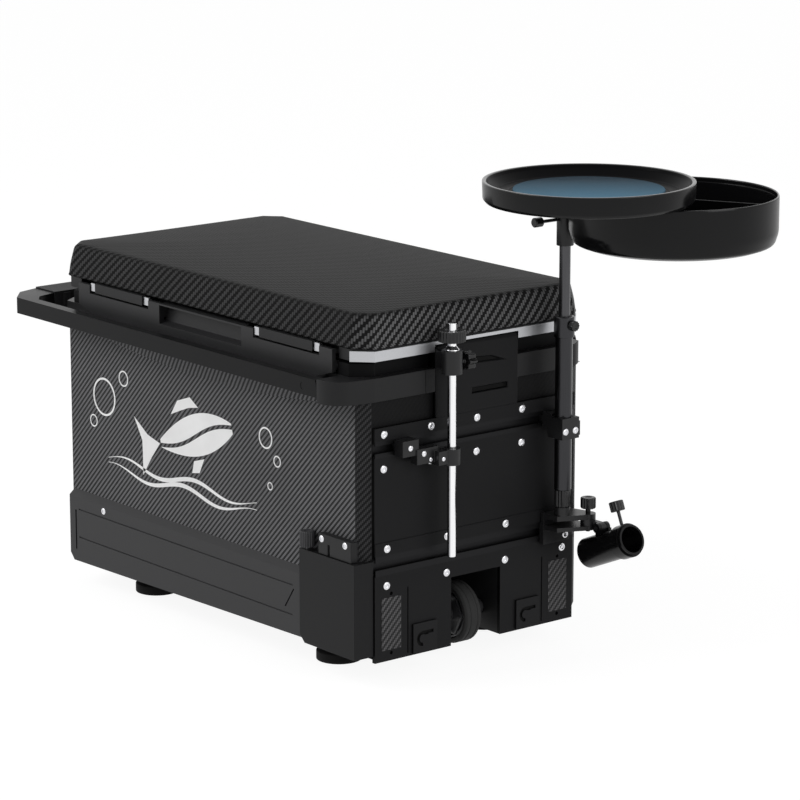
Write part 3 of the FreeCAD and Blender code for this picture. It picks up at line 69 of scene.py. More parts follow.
def worked_out(tree, operation, first, second=None, third=None):
    """One Math node's result; numbers are set on its sockets and sockets are joined to them."""
    node = tree.nodes.new("ShaderNodeMath")
    node.operation = operation
    for socket, given in zip(node.inputs, (first, second, third)):
        if isinstance(given, (int, float)):
            socket.default_value = given
        elif given is not None:
            tree.links.new(given, socket)
    return node.outputs[0]


def ranged(tree, value, low, high, start=0.0, end=1.0):
    """A value that runs from start to end, brought to run from low to high."""
    node = tree.nodes.new("ShaderNodeMapRange")
    for label, given in (("From Min", start), ("From Max", end), ("To Min", low), ("To Max", high)):
        node.inputs[label].default_value = given
    tree.links.new(value, node.inputs["Value"])
    return node.outputs[0]


table_mesh = bpy.data.meshes.new("table")
table_mesh.from_pydata([(x * TABLE_HALF, y * TABLE_HALF, TABLE_HEIGHT)
                        for x, y in ((-1, -1), (1, -1), (1, 1), (-1, 1))], [], [(0, 1, 2, 3)])
table = bpy.data.objects.new("table", table_mesh)
scene.collection.objects.link(table)
table_paint = bpy.data.materials.new("table_paint")
table_paint.use_nodes = True
tree = table_paint.node_tree
table_shader = tree.nodes["Principled BSDF"]
table_shader.inputs["Base Color"].default_value = TABLE_WHITE
table_shader.inputs["Roughness"].default_value = 0.9
glow = tree.nodes.new("ShaderNodeEmission")
glow.inputs["Strength"].default_value = TABLE_GLOW
path = tree.nodes.new("ShaderNodeLightPath").outputs
shiny = worked_out(tree, "ADD", path["Is Glossy Ray"], path["Is Transmission Ray"])
seen = worked_out(tree, "ADD", path["Is Camera Ray"], shiny)
mix = tree.nodes.new("ShaderNodeMixShader")
joined(tree, (worked_out(tree, "MULTIPLY", seen, GLOW_SHARE), mix.inputs[0]),
       (table_shader.outputs[0], mix.inputs[1]), (glow.outputs[0], mix.inputs[2]),
       (mix.outputs[0], tree.nodes["Material Output"].inputs["Surface"]))
table_mesh.materials.append(table_paint)

room = bpy.data.worlds.new("room")
scene.world = room
room.use_nodes = True
tree = room.node_tree
sky = tree.nodes["Background"]
sky.inputs["Color"].default_value = (1, 1, 1, 1)
path = tree.nodes.new("ShaderNodeLightPath").outputs
seen = worked_out(tree, "MAXIMUM", path["Is Camera Ray"], path["Is Glossy Ray"])
shiny = worked_out(tree, "MAXIMUM", seen, path["Is Transmission Ray"])
joined(tree, (ranged(tree, shiny, ROOM_DIM, ROOM_BRIGHT), sky.inputs["Strength"]))


def lamp(name, place, aim, size, power):
    """A square soft lamp that points at a place on the object."""
    light = bpy.data.lights.new(name, "AREA")
    light.size = size
    light.energy = power
    holder = bpy.data.objects.new(name, light)
    holder.location = place
    holder.rotation_euler = (Vector(aim) - Vector(place)).to_track_quat("-Z", "Y").to_euler()
    scene.collection.objects.link(holder)


lamp("lamp_over_front", place=(-1.1, -2.4, 2.3), aim=(0, 0, 0.2), size=1.8, power=46)
lamp("lamp_right", place=(3.0, 0.6, 1.5), aim=(0.1, 0, 0.2), size=1.6, power=26)

CAMERA_PLACE = (3.2704, -2.5140, 1.1817)
CAMERA_AZIMUTH, CAMERA_ELEVATION = math.radians(51.044), math.radians(12.971)
CAMERA_ROLL = math.radians(-0.03)
CAMERA_LENS = 157.4
back = Vector((math.sin(CAMERA_AZIMUTH) * math.cos(CAMERA_ELEVATION),
               -math.cos(CAMERA_AZIMUTH) * math.cos(CAMERA_ELEVATION), math.sin(CAMERA_ELEVATION)))
across = Vector((0, 0, 1)).cross(back).normalized()
turn = Matrix((across, back.cross(across), back)).transposed() @ Matrix.Rotation(CAMERA_ROLL, 3, "Z")
camera = bpy.data.objects.new("camera", bpy.data.cameras.new("camera"))
camera.data.lens = CAMERA_LENS
camera.data.sensor_width = 36.0
camera.data.clip_end = 60.0
camera.matrix_world = Matrix.Translation(CAMERA_PLACE) @ turn.to_4x4()
scene.collection.objects.link(camera)
scene.camera = camera

# Base casing: the moulded plastic pan that everything stands on, with its wheel well at the rail end. Its
# edges are rounded as they come from the mould, and its skin has a fine spark grain.
MOULD_EDGE = 0.0012
CLOUD_DARK, CLOUD_LIGHT, CLOUD_SHINE = 0.8, 1.2, 0.08
RELIEF = 0.0002
FLAT_ANGLE, BEVEL_ANGLE = math.radians(0.8), math.radians(38)


def effect(name, inputs, outputs):
    """An empty shader node group with named inputs, given as (name, value), and named outputs."""
    group = bpy.data.node_groups.new(name, "ShaderNodeTree")
    for label, value in inputs:
        socket = group.interface.new_socket(label, in_out="INPUT", socket_type="NodeSocketFloat")
        socket.default_value = value
    for label in outputs:
        group.interface.new_socket(label, in_out="OUTPUT", socket_type="NodeSocketFloat")
    return group, group.nodes.new("NodeGroupInput"), group.nodes.new("NodeGroupOutput")


grain, entry, leave = effect("mould_grain", [("Grain size", 1400.0), ("Cloud size", 9.0)],
                             ["Mottle", "Height"])
spot = grain.nodes.new("ShaderNodeTexCoord").outputs["Object"]
fine = grain.nodes.new("ShaderNodeTexNoise")
fine.inputs["Detail"].default_value = 2.0
clouds = grain.nodes.new("ShaderNodeTexNoise")
clouds.inputs["Detail"].default_value = 4.0
clouds.inputs["Roughness"].default_value = 0.6
joined(grain, (spot, fine.inputs["Vector"]), (spot, clouds.inputs["Vector"]),
       (entry.outputs["Grain size"], fine.inputs["Scale"]),
       (entry.outputs["Cloud size"], clouds.inputs["Scale"]),
       (clouds.outputs["Fac"], leave.inputs["Mottle"]), (fine.outputs["Fac"], leave.inputs["Height"]))


def using(tree, group, label=None, value=None):
    """A shader node group put in a material, with one of its inputs set."""
    node = tree.nodes.new("ShaderNodeGroup")
    node.node_tree = group
    if label:
        node.inputs[label].default_value = value
    return node


def blended(tree, factor, first, second):
    """A mix of two colours, each given as numbers or as a socket."""
    node = tree.nodes.new("ShaderNodeMix")
    node.data_type = "RGBA"
    tree.links.new(factor, node.inputs["Factor"])
    for label, given in (("A", first), ("B", second)):
        if isinstance(given, tuple):
            node.inputs[label].default_value = given
        else:
            tree.links.new(given, node.inputs[label])
    return node.outputs["Result"]


def skinned(tree, colour, roughness, height, strength, relief=RELIEF):
    """Joins a colour, a roughness and a bump to a material's shader."""
    shader = tree.nodes["Principled BSDF"]
    bump = tree.nodes.new("ShaderNodeBump")
    bump.inputs["Strength"].default_value = strength
    bump.inputs["Distance"].default_value = relief
    joined(tree, (colour, shader.inputs["Base Color"]), (roughness, shader.inputs["Roughness"]),
           (height, bump.inputs["Height"]), (bump.outputs[0], shader.inputs["Normal"]))


def moulding(name, colour, roughness, specular=0.25, grain_depth=0.25, grain_size=1400.0):
    """A moulded or painted skin: its colour and shine cloud a little, and a fine grain breaks them up."""
    made = bpy.data.materials.new(name)
    made.use_nodes = True
    tree = made.node_tree
    tree.nodes["Principled BSDF"].inputs["Specular IOR Level"].default_value = specular
    skin = using(tree, grain, "Grain size", grain_size)
    mottle = skin.outputs["Mottle"]
    dark, light = (tuple(c * share for c in colour[:3]) + (1,) for share in (CLOUD_DARK, CLOUD_LIGHT))
    rough = ranged(tree, mottle, max(roughness - CLOUD_SHINE, 0.02), roughness + CLOUD_SHINE)
    skinned(tree, blended(tree, mottle, dark, light), rough, skin.outputs["Height"], grain_depth)
    return made


def dress(material, *names):
    """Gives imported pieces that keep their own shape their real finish."""
    for name in names:
        nodes[name].material_slots[0].material = material


def placed(name, mesh, material, body, slot, *stands_for):
    """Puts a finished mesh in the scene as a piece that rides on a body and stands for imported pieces."""
    mesh.materials.clear()
    mesh.materials.append(material)
    piece = bpy.data.objects.new(name, mesh)
    scene.collection.objects.link(piece)
    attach(piece, body)
    if stands_for:
        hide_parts(*stands_for)
    return piece


def settled(source):
    """The mesh that an object's modifiers give, as plain data; the object itself is thrown away."""
    bpy.context.view_layer.update()
    mesh = bpy.data.meshes.new_from_object(source.evaluated_get(bpy.context.evaluated_depsgraph_get()))
    bpy.data.objects.remove(source)
    return mesh


def softened(node, edge, steps=2):
    """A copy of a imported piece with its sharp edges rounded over."""
    solid = bmesh.new()
    solid.from_mesh(nodes[node].data)
    bmesh.ops.remove_doubles(solid, verts=solid.verts, dist=2e-6)
    bmesh.ops.dissolve_limit(solid, angle_limit=FLAT_ANGLE, verts=solid.verts, edges=solid.edges)
    mesh = bpy.data.meshes.new(node + "_copy")
    solid.to_mesh(mesh)
    solid.free()
    mesh.materials.clear()
    rough_piece = bpy.data.objects.new(node + "_copy", mesh)
    scene.collection.objects.link(rough_piece)
    bevel = rough_piece.modifiers.new("edge", "BEVEL")
    bevel.width = edge
    bevel.segments = steps
    bevel.limit_method = "ANGLE"
    bevel.angle_limit = BEVEL_ANGLE
    bevel.use_clamp_overlap = True
    for face in mesh.polygons:
        face.use_smooth = True
    even = rough_piece.modifiers.new("even", "WEIGHTED_NORMAL")
    even.keep_sharp = True
    return settled(rough_piece)


def rounded(name, node, edge, material, body, slot, steps=2):
    """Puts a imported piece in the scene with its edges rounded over, in its real finish."""
    placed(name, softened(node, edge, steps), material, body, slot, node)


casing_plastic = moulding("casing_plastic", tone(27, 27, 28), 0.4, specular=0.2)
rounded("base_pan", "base_casing", MOULD_EDGE, casing_plastic, "box", "box_plastic")

# Feet: four round rubber pads, turned with a soft rim and three grip grooves in the sole. Each sits on a
# stem screwed into the base.
FOOT_PLACES = [(x, y) for x in (-0.184, 0.184) for y in (-0.110, 0.110)]


def eased(points, radius, steps=3):
    """A line of (radius, height) points with its inner corners rounded."""
    line = [points[0]]
    for before, corner, after in zip(points, points[1:], points[2:]):
        middle = Vector(corner)
        ends = []
        for other in (before, after):
            side = Vector(other) - middle
            ends.append(middle + side.normalized() * min(radius, side.length * 0.45))
        for n in range(steps + 1):
            t = n / steps
            line.append(tuple(ends[0] * (1 - t) ** 2 + middle * (2 * t * (1 - t)) + ends[1] * t ** 2))
    return line + [points[-1]]


def turned(profile, centre, axis=(0, 0, 1), sides=64, ribs=0, rib_depth=0.0, rib_from=1.0):
    """A closed solid of revolution over (radius, height) points, ribbed from the radius rib_from out."""
    solid = bmesh.new()
    tilt = Vector((0, 0, 1)).rotation_difference(Vector(axis))
    rings = []
    for radius, height in profile:
        if radius < 1e-6:
            rings.append([solid.verts.new(Vector(centre) + tilt @ Vector((0, 0, height)))])
            continue
        ring = []
        for n in range(sides):
            angle = 2 * math.pi * n / sides
            cut = rib_depth * (0.5 - 0.5 * math.cos(ribs * angle)) if ribs and radius >= rib_from else 0.0
            spot = Vector(((radius - cut) * math.cos(angle), (radius - cut) * math.sin(angle), height))
            ring.append(solid.verts.new(Vector(centre) + tilt @ spot))
        rings.append(ring)
    closed = len(rings[0]) > 1 and len(rings[-1]) > 1
    for lower, upper in zip(rings, rings[1:] + ([rings[0]] if closed else [])):
        for n in range(sides):
            m = (n + 1) % sides
            corners = [ring[k % len(ring)] for ring, k in ((lower, n), (lower, m), (upper, m), (upper, n))]
            solid.faces.new(list(dict.fromkeys(corners)))
    bmesh.ops.recalc_face_normals(solid, faces=solid.faces)
    for face in solid.faces:
        face.smooth = True
    mesh = bpy.data.meshes.new("turned")
    solid.to_mesh(mesh)
    solid.free()
    mesh.set_sharp_from_angle(angle=math.radians(40))
    return mesh


def together(*meshes):
    """Several meshes as one."""
    whole = bmesh.new()
    for mesh in meshes:
        whole.from_mesh(mesh)
    mesh = bpy.data.meshes.new("together")
    whole.to_mesh(mesh)
    whole.free()
    return mesh


foot_line = eased([(0, 0), (0.014, 0), (0.014, -0.012), (0.027, -0.017), (0.027, -0.028), (0.0215, -0.028),
                   (0.0205, -0.0265), (0.0185, -0.0265), (0.0175, -0.028), (0.0125, -0.028),
                   (0.0115, -0.0265), (0.0095, -0.0265), (0.0085, -0.028), (0, -0.028)], 0.0012)
foot_rubber = moulding("foot_rubber", tone(28, 28, 28), 0.75, specular=0.12, grain_depth=0.4)
placed("rubber_feet", together(*[turned(foot_line, (x, y, 0)) for x, y in FOOT_PLACES]), foot_rubber,
       "box", "foot_rubber", "feet")

# Wheel: a smooth rubber tyre with two grooves on a moulded hub with six-sided caps, on a steel axle that
# runs through the cheeks of the well.
WHEEL_CENTRE = (0.262, 0, 0.026)
WHEEL_AXIS = (0, 1, 0)
tyre_rubber = moulding("tyre_rubber", tone(50, 50, 50), 0.7, specular=0.15, grain_depth=0.5)
tyre_half = [(0.0292, 0.010), (0.030, 0.012), (0.0335, 0.012), (0.036, 0.0095), (0.036, 0.0060),
             (0.0352, 0.0055), (0.0352, 0.0045), (0.036, 0.0040)]
tyre_line = eased([(r, -h) for r, h in tyre_half] + tyre_half[::-1], 0.0008)
placed("tyre", turned(tyre_line, WHEEL_CENTRE, WHEEL_AXIS, sides=96), tyre_rubber, "wheel", "tyre_rubber",
       "wheel_tyre")
hub_plastic = moulding("hub_plastic", tone(62, 62, 64), 0.35, specular=0.4, grain_depth=0.1)
cap_line = [(0.006, 0.008), (0.0255, 0.008), (0.027, 0.0095), (0.027, 0.011), (0.0245, 0.011),
            (0.0225, 0.0098), (0.006, 0.0098)]
hub_half = [(0.00505, 0.0367), (0.009, 0.0367), (0.009, 0.004), (0.026, 0.004), (0.026, 0.010),
            (0.029, 0.010)]
hub_line = eased([(r, -h) for r, h in hub_half] + hub_half[::-1], 0.0008)
caps = [turned(cap_line, WHEEL_CENTRE, (0, way, 0), sides=6) for way in (-1, 1)]
hub = together(turned(hub_line, WHEEL_CENTRE, WHEEL_AXIS), *caps)
hub.set_sharp_from_angle(angle=math.radians(35))
placed("wheel_hub_moulding", hub, hub_plastic, "wheel", "hub_plastic", "wheel_hub")

# Steel parts that stay bright: the axle and the levers' pins here, the screws and the rod further on. Drawn
# or brushed metal shows fine lines.
LINE_DARK, LINE_LIGHT, LINE_SHINE = 0.86, 1.08, 0.07
LINE_RELIEF = 0.0001


def split_up(tree, source):
    """The X, Y and Z of a vector."""
    node = tree.nodes.new("ShaderNodeSeparateXYZ")
    tree.links.new(source, node.inputs[0])
    return node.outputs


lines, entry, leave = effect("drawn_lines", [("Line count", 900.0), ("Stretch", 0.03)], ["Line"])
here = split_up(lines, lines.nodes.new("ShaderNodeTexCoord").outputs["Object"])
again = lines.nodes.new("ShaderNodeCombineXYZ")
streak = lines.nodes.new("ShaderNodeTexNoise")
streak.inputs["Detail"].default_value = 3.0
joined(lines, (here["X"], again.inputs["X"]), (here["Y"], again.inputs["Y"]),
       (worked_out(lines, "MULTIPLY", here["Z"], entry.outputs["Stretch"]), again.inputs["Z"]),
       (again.outputs[0], streak.inputs["Vector"]), (entry.outputs["Line count"], streak.inputs["Scale"]),
       (streak.outputs["Fac"], leave.inputs["Line"]))


def drawn_metal(name, colour, roughness, stretch=0.03, line_depth=0.1):
    """Bare or anodised metal with faint lines along Z where it was drawn or brushed."""
    made = bpy.data.materials.new(name)
    made.use_nodes = True
    tree = made.node_tree
    tree.nodes["Principled BSDF"].inputs["Metallic"].default_value = 1.0
    line = using(tree, lines, "Stretch", stretch).outputs["Line"]
    dark, light = (tuple(min(c * share, 1.0) for c in colour[:3]) + (1,) for share in (LINE_DARK, LINE_LIGHT))
    rough = ranged(tree, line, max(roughness - LINE_SHINE, 0.03), roughness + LINE_SHINE)
    skinned(tree, blended(tree, line, dark, light), rough, line, line_depth, LINE_RELIEF)
    return made


bright_steel = drawn_metal("bright_steel", tone(225, 225, 228), 0.22)
dress(bright_steel, "wheel_axle", "lever_pins")

# Outer shell: the insulated walls, faced with a carbon-look twill. The stripes are its two-over-two weave,
# rising to the right on every side. Their light tone is painted sheen, full on the long sides, weaker on
# the end without rails, and none on the rail end or on top.
WALL_TOW = 0.00185
TWILL_REPEAT, TWILL_OVER = 4.0, 1.5
TOW_ROUNDING = -3.2
WEFT_SHEEN = 0.08
WEAVE_SHINE = 0.12
twill, entry, leave = effect("twill", [("Across", 0.0), ("Up", 0.0), ("Tow width", 0.002)],
                             ["Sheen", "Height"])
column, row = (worked_out(twill, "DIVIDE", entry.outputs[way], entry.outputs["Tow width"])
               for way in ("Across", "Up"))
step = worked_out(twill, "SUBTRACT", worked_out(twill, "FLOOR", column), worked_out(twill, "FLOOR", row))
over = worked_out(twill, "LESS_THAN", worked_out(twill, "FLOORED_MODULO", step, TWILL_REPEAT), TWILL_OVER)
backs = []
for run in (column, row):
    off_centre = worked_out(twill, "SUBTRACT", worked_out(twill, "FRACT", run), 0.5)
    square = worked_out(twill, "MULTIPLY", off_centre, off_centre)
    backs.append(worked_out(twill, "MULTIPLY_ADD", square, TOW_ROUNDING, 1.0))
# Painted sheen along the tows: each tow is painted lightest along its crown, and the weft tows take little of
# it.
warp = worked_out(twill, "MULTIPLY", over, backs[0])
weft = worked_out(twill, "MULTIPLY", worked_out(twill, "SUBTRACT", 1.0, over), backs[1])
joined(twill, (worked_out(twill, "MULTIPLY_ADD", weft, WEFT_SHEEN, warp), leave.inputs["Sheen"]),
       (worked_out(twill, "ADD", warp, weft), leave.inputs["Height"]))


def woven(name, dark, light, roughness, tow, plane, shine, depth=0.5, specular=0.4, lean=0.0):
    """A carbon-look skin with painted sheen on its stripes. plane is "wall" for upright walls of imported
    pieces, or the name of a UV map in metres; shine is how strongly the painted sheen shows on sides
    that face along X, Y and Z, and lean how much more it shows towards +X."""
    made = bpy.data.materials.new(name)
    made.use_nodes = True
    tree = made.node_tree
    tree.nodes["Principled BSDF"].inputs["Specular IOR Level"].default_value = specular
    weave = using(tree, twill, "Tow width", tow)
    spot = tree.nodes.new("ShaderNodeTexCoord").outputs
    flat = split_up(tree, spot["Normal"])
    # Painted sheen by facing: a weight from each side's normal for how much light the stripes are given.
    painted_facing_sheen = worked_out(tree, "MULTIPLY", flat["X"], lean)
    for letter, strength in zip("XYZ", shine):
        square = worked_out(tree, "MULTIPLY", flat[letter], flat[letter])
        painted_facing_sheen = worked_out(tree, "MULTIPLY_ADD", square, strength, painted_facing_sheen)
    if plane == "wall":
        here = split_up(tree, spot["Object"])
        along_y = worked_out(tree, "MULTIPLY", flat["X"], here["Y"])
        along_x = worked_out(tree, "MULTIPLY", flat["Y"], here["X"])
        square = worked_out(tree, "MULTIPLY", flat["Y"], flat["Y"])
        reach = worked_out(tree, "SQRT", worked_out(tree, "MULTIPLY_ADD", flat["X"], flat["X"], square))
        run = worked_out(tree, "DIVIDE", worked_out(tree, "SUBTRACT", along_y, along_x),
                         worked_out(tree, "MAXIMUM", reach, 0.05))
        joined(tree, (run, weave.inputs["Across"]), (here["Z"], weave.inputs["Up"]))
    else:
        chart = tree.nodes.new("ShaderNodeUVMap")
        chart.uv_map = plane
        here = split_up(tree, chart.outputs[0])
        joined(tree, (here["X"], weave.inputs["Across"]), (here["Y"], weave.inputs["Up"]))
    mottle = using(tree, grain).outputs["Mottle"]
    # The painted sheen by facing, clouded a little by the mottle, sets how light the stripes are.
    cloud = worked_out(tree, "MULTIPLY", worked_out(tree, "MULTIPLY_ADD", mottle, 0.5, 0.75), painted_facing_sheen)
    sheen = weave.outputs["Sheen"]
    tint = blended(tree, worked_out(tree, "MULTIPLY", sheen, cloud), dark, light)
    rough = ranged(tree, sheen, roughness + WEAVE_SHINE, roughness)
    skinned(tree, tint, rough, weave.outputs["Height"], depth)
    return made


# Painted sheen on the wall's stripes: full on the long sides, less on the end without rails, none at the rail
# end or on top.
wall_carbon = woven("wall_carbon", tone(10, 10, 11), tone(120, 120, 122), 0.5, WALL_TOW, "wall",
                    (0.3, 1.0, 0.0), specular=0.12, lean=-0.3)
dress(wall_carbon, "outer_shell")
liner_plastic = moulding("liner_plastic", tone(214, 215, 216), 0.45, specular=0.4)
foam_skin = moulding("foam_skin", tone(232, 226, 200), 0.9, specular=0.1, grain_depth=0.8, grain_size=700.0)
dress(liner_plastic, "inner_liner")
dress(foam_skin, "foam_insulation")

# Printed picture on the front wall: white ink, a leaping fish over two wave lines with rising bubbles. It is
# a plain motif of the kind that such boxes carry.
INK_FACE = -0.1652
INK_THICK = 0.00025
FISH_PLACE, FISH_SIZE, FISH_LEAN = (-20.0, 208.0), 84.0, math.radians(17)
WAVE_START, WAVE_BASE, WAVE_GAP, WAVE_RISE, WAVE_WIDTH = -205, 147, 11, 6, 5.4
BUBBLES = [(-212, 222, 24, 2.6), (-170, 252, 10, 1.8), (-236, 188, 8, 1.6), (118, 232, 13, 2.0),
           (140, 208, 7, 1.6), (126, 176, 5, 1.4)]


def print_shapes(outlines):
    """Flat ink shapes on the front wall, each over a list of (x, z) points in millimetres."""
    ink = bmesh.new()
    for points in outlines:
        front = [ink.verts.new((x / 1000, INK_FACE, z / 1000)) for x, z in points]
        face = ink.faces.new(front)
        grown_out = bmesh.ops.extrude_face_region(ink, geom=[face])
        moved = [v for v in grown_out["geom"] if isinstance(v, bmesh.types.BMVert)]
        bmesh.ops.translate(ink, verts=moved, vec=(0, INK_THICK, 0))
    bmesh.ops.triangulate(ink, faces=ink.faces)
    bmesh.ops.recalc_face_normals(ink, faces=ink.faces)
    mesh = bpy.data.meshes.new("ink")
    ink.to_mesh(mesh)
    ink.free()
    return mesh


def ribbon(line, width):
    """The outline of a band that follows a line and tapers to both ends."""
    upper, lower = [], []
    for n, (x, z) in enumerate(line):
        half = width * math.sin(math.pi * min(max(n / (len(line) - 1), 0.04), 0.96)) / 2
        upper.append((x, z + half))
        lower.append((x, z - half))
    return upper + lower[::-1]


def ring_band(x, z, radius, width):
    """A ring as two half bands."""
    halves = []
    for start in (0, math.pi):
        turns = [start + math.pi * n / 16 for n in range(17)]
        outer, inner = ([(x + reach * math.cos(a), z + reach * math.sin(a)) for a in turns]
                        for reach in (radius, radius - width))
        halves.append(outer + inner[::-1])
    return halves


def fish(x, z, size, lean):
    """A fish seen from the side in five strokes: its back, belly, tail and two fins."""
    def bent(points):
        return [(x + size * (u * math.cos(lean) - v * math.sin(lean)),
                 z + size * (u * math.sin(lean) + v * math.cos(lean))) for u, v in points]

    steps = [n / 20 for n in range(1, 20)]
    middle = [(1 - 2 * s, 0.07 * math.sin(2 * math.pi * s)) for s in steps]
    top = [(1 - 2 * s, 0.36 * math.sin(math.pi * s) ** 0.8 * (1 - 0.25 * s)) for s in steps]
    low = [(1 - 2 * s, -0.32 * math.sin(math.pi * s) ** 0.8 * (1 - 0.2 * s)) for s in steps]
    back_stroke = top + [(u, v + 0.03) for u, v in middle][::-1]
    belly_stroke = [(u, v - 0.03) for u, v in middle] + low[::-1]
    tail = [(-0.93, 0.0), (-1.2, 0.16), (-1.46, 0.46), (-1.36, 0.1), (-1.4, -0.06), (-1.5, -0.4),
            (-1.2, -0.17)]
    fin = [(0.18, 0.39), (0.02, 0.56), (-0.3, 0.55), (-0.52, 0.38), (-0.3, 0.40), (-0.05, 0.415)]
    lower_fin = [(0.1, -0.34), (-0.08, -0.52), (-0.26, -0.5), (-0.16, -0.34)]
    return [bent(shape) for shape in (back_stroke, belly_stroke, tail, fin, lower_fin)]


waves = [ribbon([(WAVE_START + 5 * n, WAVE_BASE - WAVE_GAP * k + WAVE_RISE * math.sin(n / 4.6 + k))
                 for n in range(62)], WAVE_WIDTH) for k in range(2)]
bubbles = sum([ring_band(*ring) for ring in BUBBLES], [])
ink_white = moulding("ink_white", tone(240, 240, 240), 0.5, specular=0.3, grain_depth=0.1)
placed("front_print", print_shapes(fish(*FISH_PLACE, FISH_SIZE, FISH_LEAN) + waves + bubbles), ink_white, "box",
       "shell_carbon")

# Side skirts and corner bracket: thick boards moulded in one with their panel lines, screwed low on each
# long side. The front right corner is wrapped by a bracket with a clamp block and a thumb knob.
skirt_plastic = moulding("skirt_plastic", tone(49, 49, 50), 0.45, specular=0.2)
bracket_plastic = moulding("bracket_plastic", tone(27, 27, 28), 0.42, specular=0.12)
rounded("skirt_boards", "side_skirts", 0.0009, skirt_plastic, "box", "skirt_plastic")
rounded("corner_wrap", "corner_bracket", 0.0015, bracket_plastic, "box", "skirt_plastic")
rounded("corner_block", "corner_clamp", MOULD_EDGE, casing_plastic, "box", "box_plastic")
knob_grey = moulding("knob_grey", tone(52, 52, 54), 0.4, specular=0.3)


def thumb_knob(head, low, high, shank, tip, easing=0.0014):
    """The line of a thumb knob on its screw, from the screw's tip to the knob's crown."""
    return eased([(0, tip), (shank, tip), (shank, low), (head, low), (head, high), (0.45 * head, high),
                  (0.38 * head, high - 0.0008), (0, high - 0.0008)], min(easing, 0.16 * head))


placed("corner_thumb", turned(thumb_knob(0.0089, 0.1235, 0.142, 0.0015, 0.1045), (0.2086, -0.1747, 0),
                              sides=120, ribs=20, rib_depth=0.0008, rib_from=0.0078), knob_grey,
       "corner_knob", "corner_knob_plastic", "corner_knob")

# Rail end: a plate below, a flat panel and two strips above, all black plastic, around two aluminium rails
# let into the wall. Carbon-look inserts and two rubber keyhole pads lie on the lower plate. Painted shade
# turns the panels near black just below their face, in seams, slots and dimples, and in the pads' keyholes.
PLATE_EDGE = 0.0008
PAINTED_RECESS_SHADE = tone(3, 3, 3)
PANEL_SHADE_DEPTHS = (0.2986, 0.2998)
PAD_SHADE_DEPTHS = (0.3014, 0.3026)


def shaded(material, direction, dark_at, clear_at, dark):
    """Paints shade on a material: its colour falls to a dark one against a direction, between two distances
    from the origin.
    """
    tree = material.node_tree
    along = tree.nodes.new("ShaderNodeVectorMath")
    along.operation = "DOT_PRODUCT"
    along.inputs[1].default_value = direction
    tint = tree.nodes["Mix"].outputs["Result"]
    fade = ranged(tree, along.outputs["Value"], 0.0, 1.0, dark_at, clear_at)
    joined(tree, (tree.nodes.new("ShaderNodeTexCoord").outputs["Object"], along.inputs[0]),
           (blended(tree, fade, dark, tint), tree.nodes["Principled BSDF"].inputs["Base Color"]))


panel_black = moulding("panel_black", tone(28, 28, 29), 0.42, specular=0.08, grain_depth=0.12)
# Painted shade: the panels go near black in their seams, slots and dimples, just below their face.
shaded(panel_black, (1, 0, 0), *PANEL_SHADE_DEPTHS, PAINTED_RECESS_SHADE)
rounded("lower_plate", "end_plate", PLATE_EDGE, panel_black, "box", "panel_plastic")
rounded("middle_panel", "mid_panel", PLATE_EDGE, panel_black, "box", "panel_plastic")
rounded("strips", "panel_strips", PLATE_EDGE, panel_black, "box", "panel_plastic")
rounded("raised_block", "end_block", 2 * PLATE_EDGE, panel_black, "box", "panel_plastic")
# Painted sheen on the inserts' stripes, shown on their upright faces and none on top.
insert_carbon = woven("insert_carbon", tone(30, 30, 31), tone(98, 97, 98), 0.5, 0.0021, "wall",
                      (1.0, 1.0, 0.0), specular=0.15)
dress(insert_carbon, "carbon_inserts")
pad_rubber = moulding("pad_rubber", tone(33, 33, 34), 0.6, specular=0.1)
# Painted shade: the floors of the keyhole slots go near black.
shaded(pad_rubber, (1, 0, 0), *PAD_SHADE_DEPTHS, PAINTED_RECESS_SHADE)
rounded("keyhole_rubbers", "keyhole_pads", 0.0006, pad_rubber, "box", "pad_rubber")
rail_black = drawn_metal("rail_black", tone(38, 38, 39), 0.42, stretch=1.0, line_depth=0.05)
dress(rail_black, "accessory_rails")

# Screws: polished button-head screws with a six-sided socket, in rows along the panels and on the clamps.
WIDE_ROW = (-0.136, -0.068, 0, 0.068, 0.136)
NARROW_ROW = (-0.132, -0.044, 0.044, 0.132)
PANEL_ROWS = [(WIDE_ROW, 0.2655, 0.301), (WIDE_ROW, 0.2256, 0.300), (NARROW_ROW, 0.1325, 0.301),
              (NARROW_ROW, 0.089, 0.300)]
SIDE_SCREWS = [((-0.207, -0.173, 0.079), (0, -1, 0)), ((0.236, -0.175, 0.138), (0, -1, 0)),
               ((0.279, -0.175, 0.1385), (0, -1, 0)), ((-0.207, 0.173, 0.079), (0, 1, 0))]
CLAMP_SCREWS = [((0.316, -0.110, 0.2485), 0.71), ((0.318, -0.092, 0.240), 0.71),
                ((0.318, -0.082, 0.232), 0.55), ((0.326, -0.070, 0.232), 0.55)]
CARRIAGE_SCREWS = [(0.337, 0.1035, 0.239), (0.337, 0.1185, 0.239), (0.307, 0.131, 0.106)]
M5_SIZE, SIDE_SIZE = 1.0, 0.875
HEAD_LEVELS = [(4.8, -0.2, False), (4.8, 0.5, False), (4.4, 1.0, False), (3.5, 1.45, False),
               (2.6, 1.6, False), (2.1, 1.55, True), (1.95, 0.6, True)]


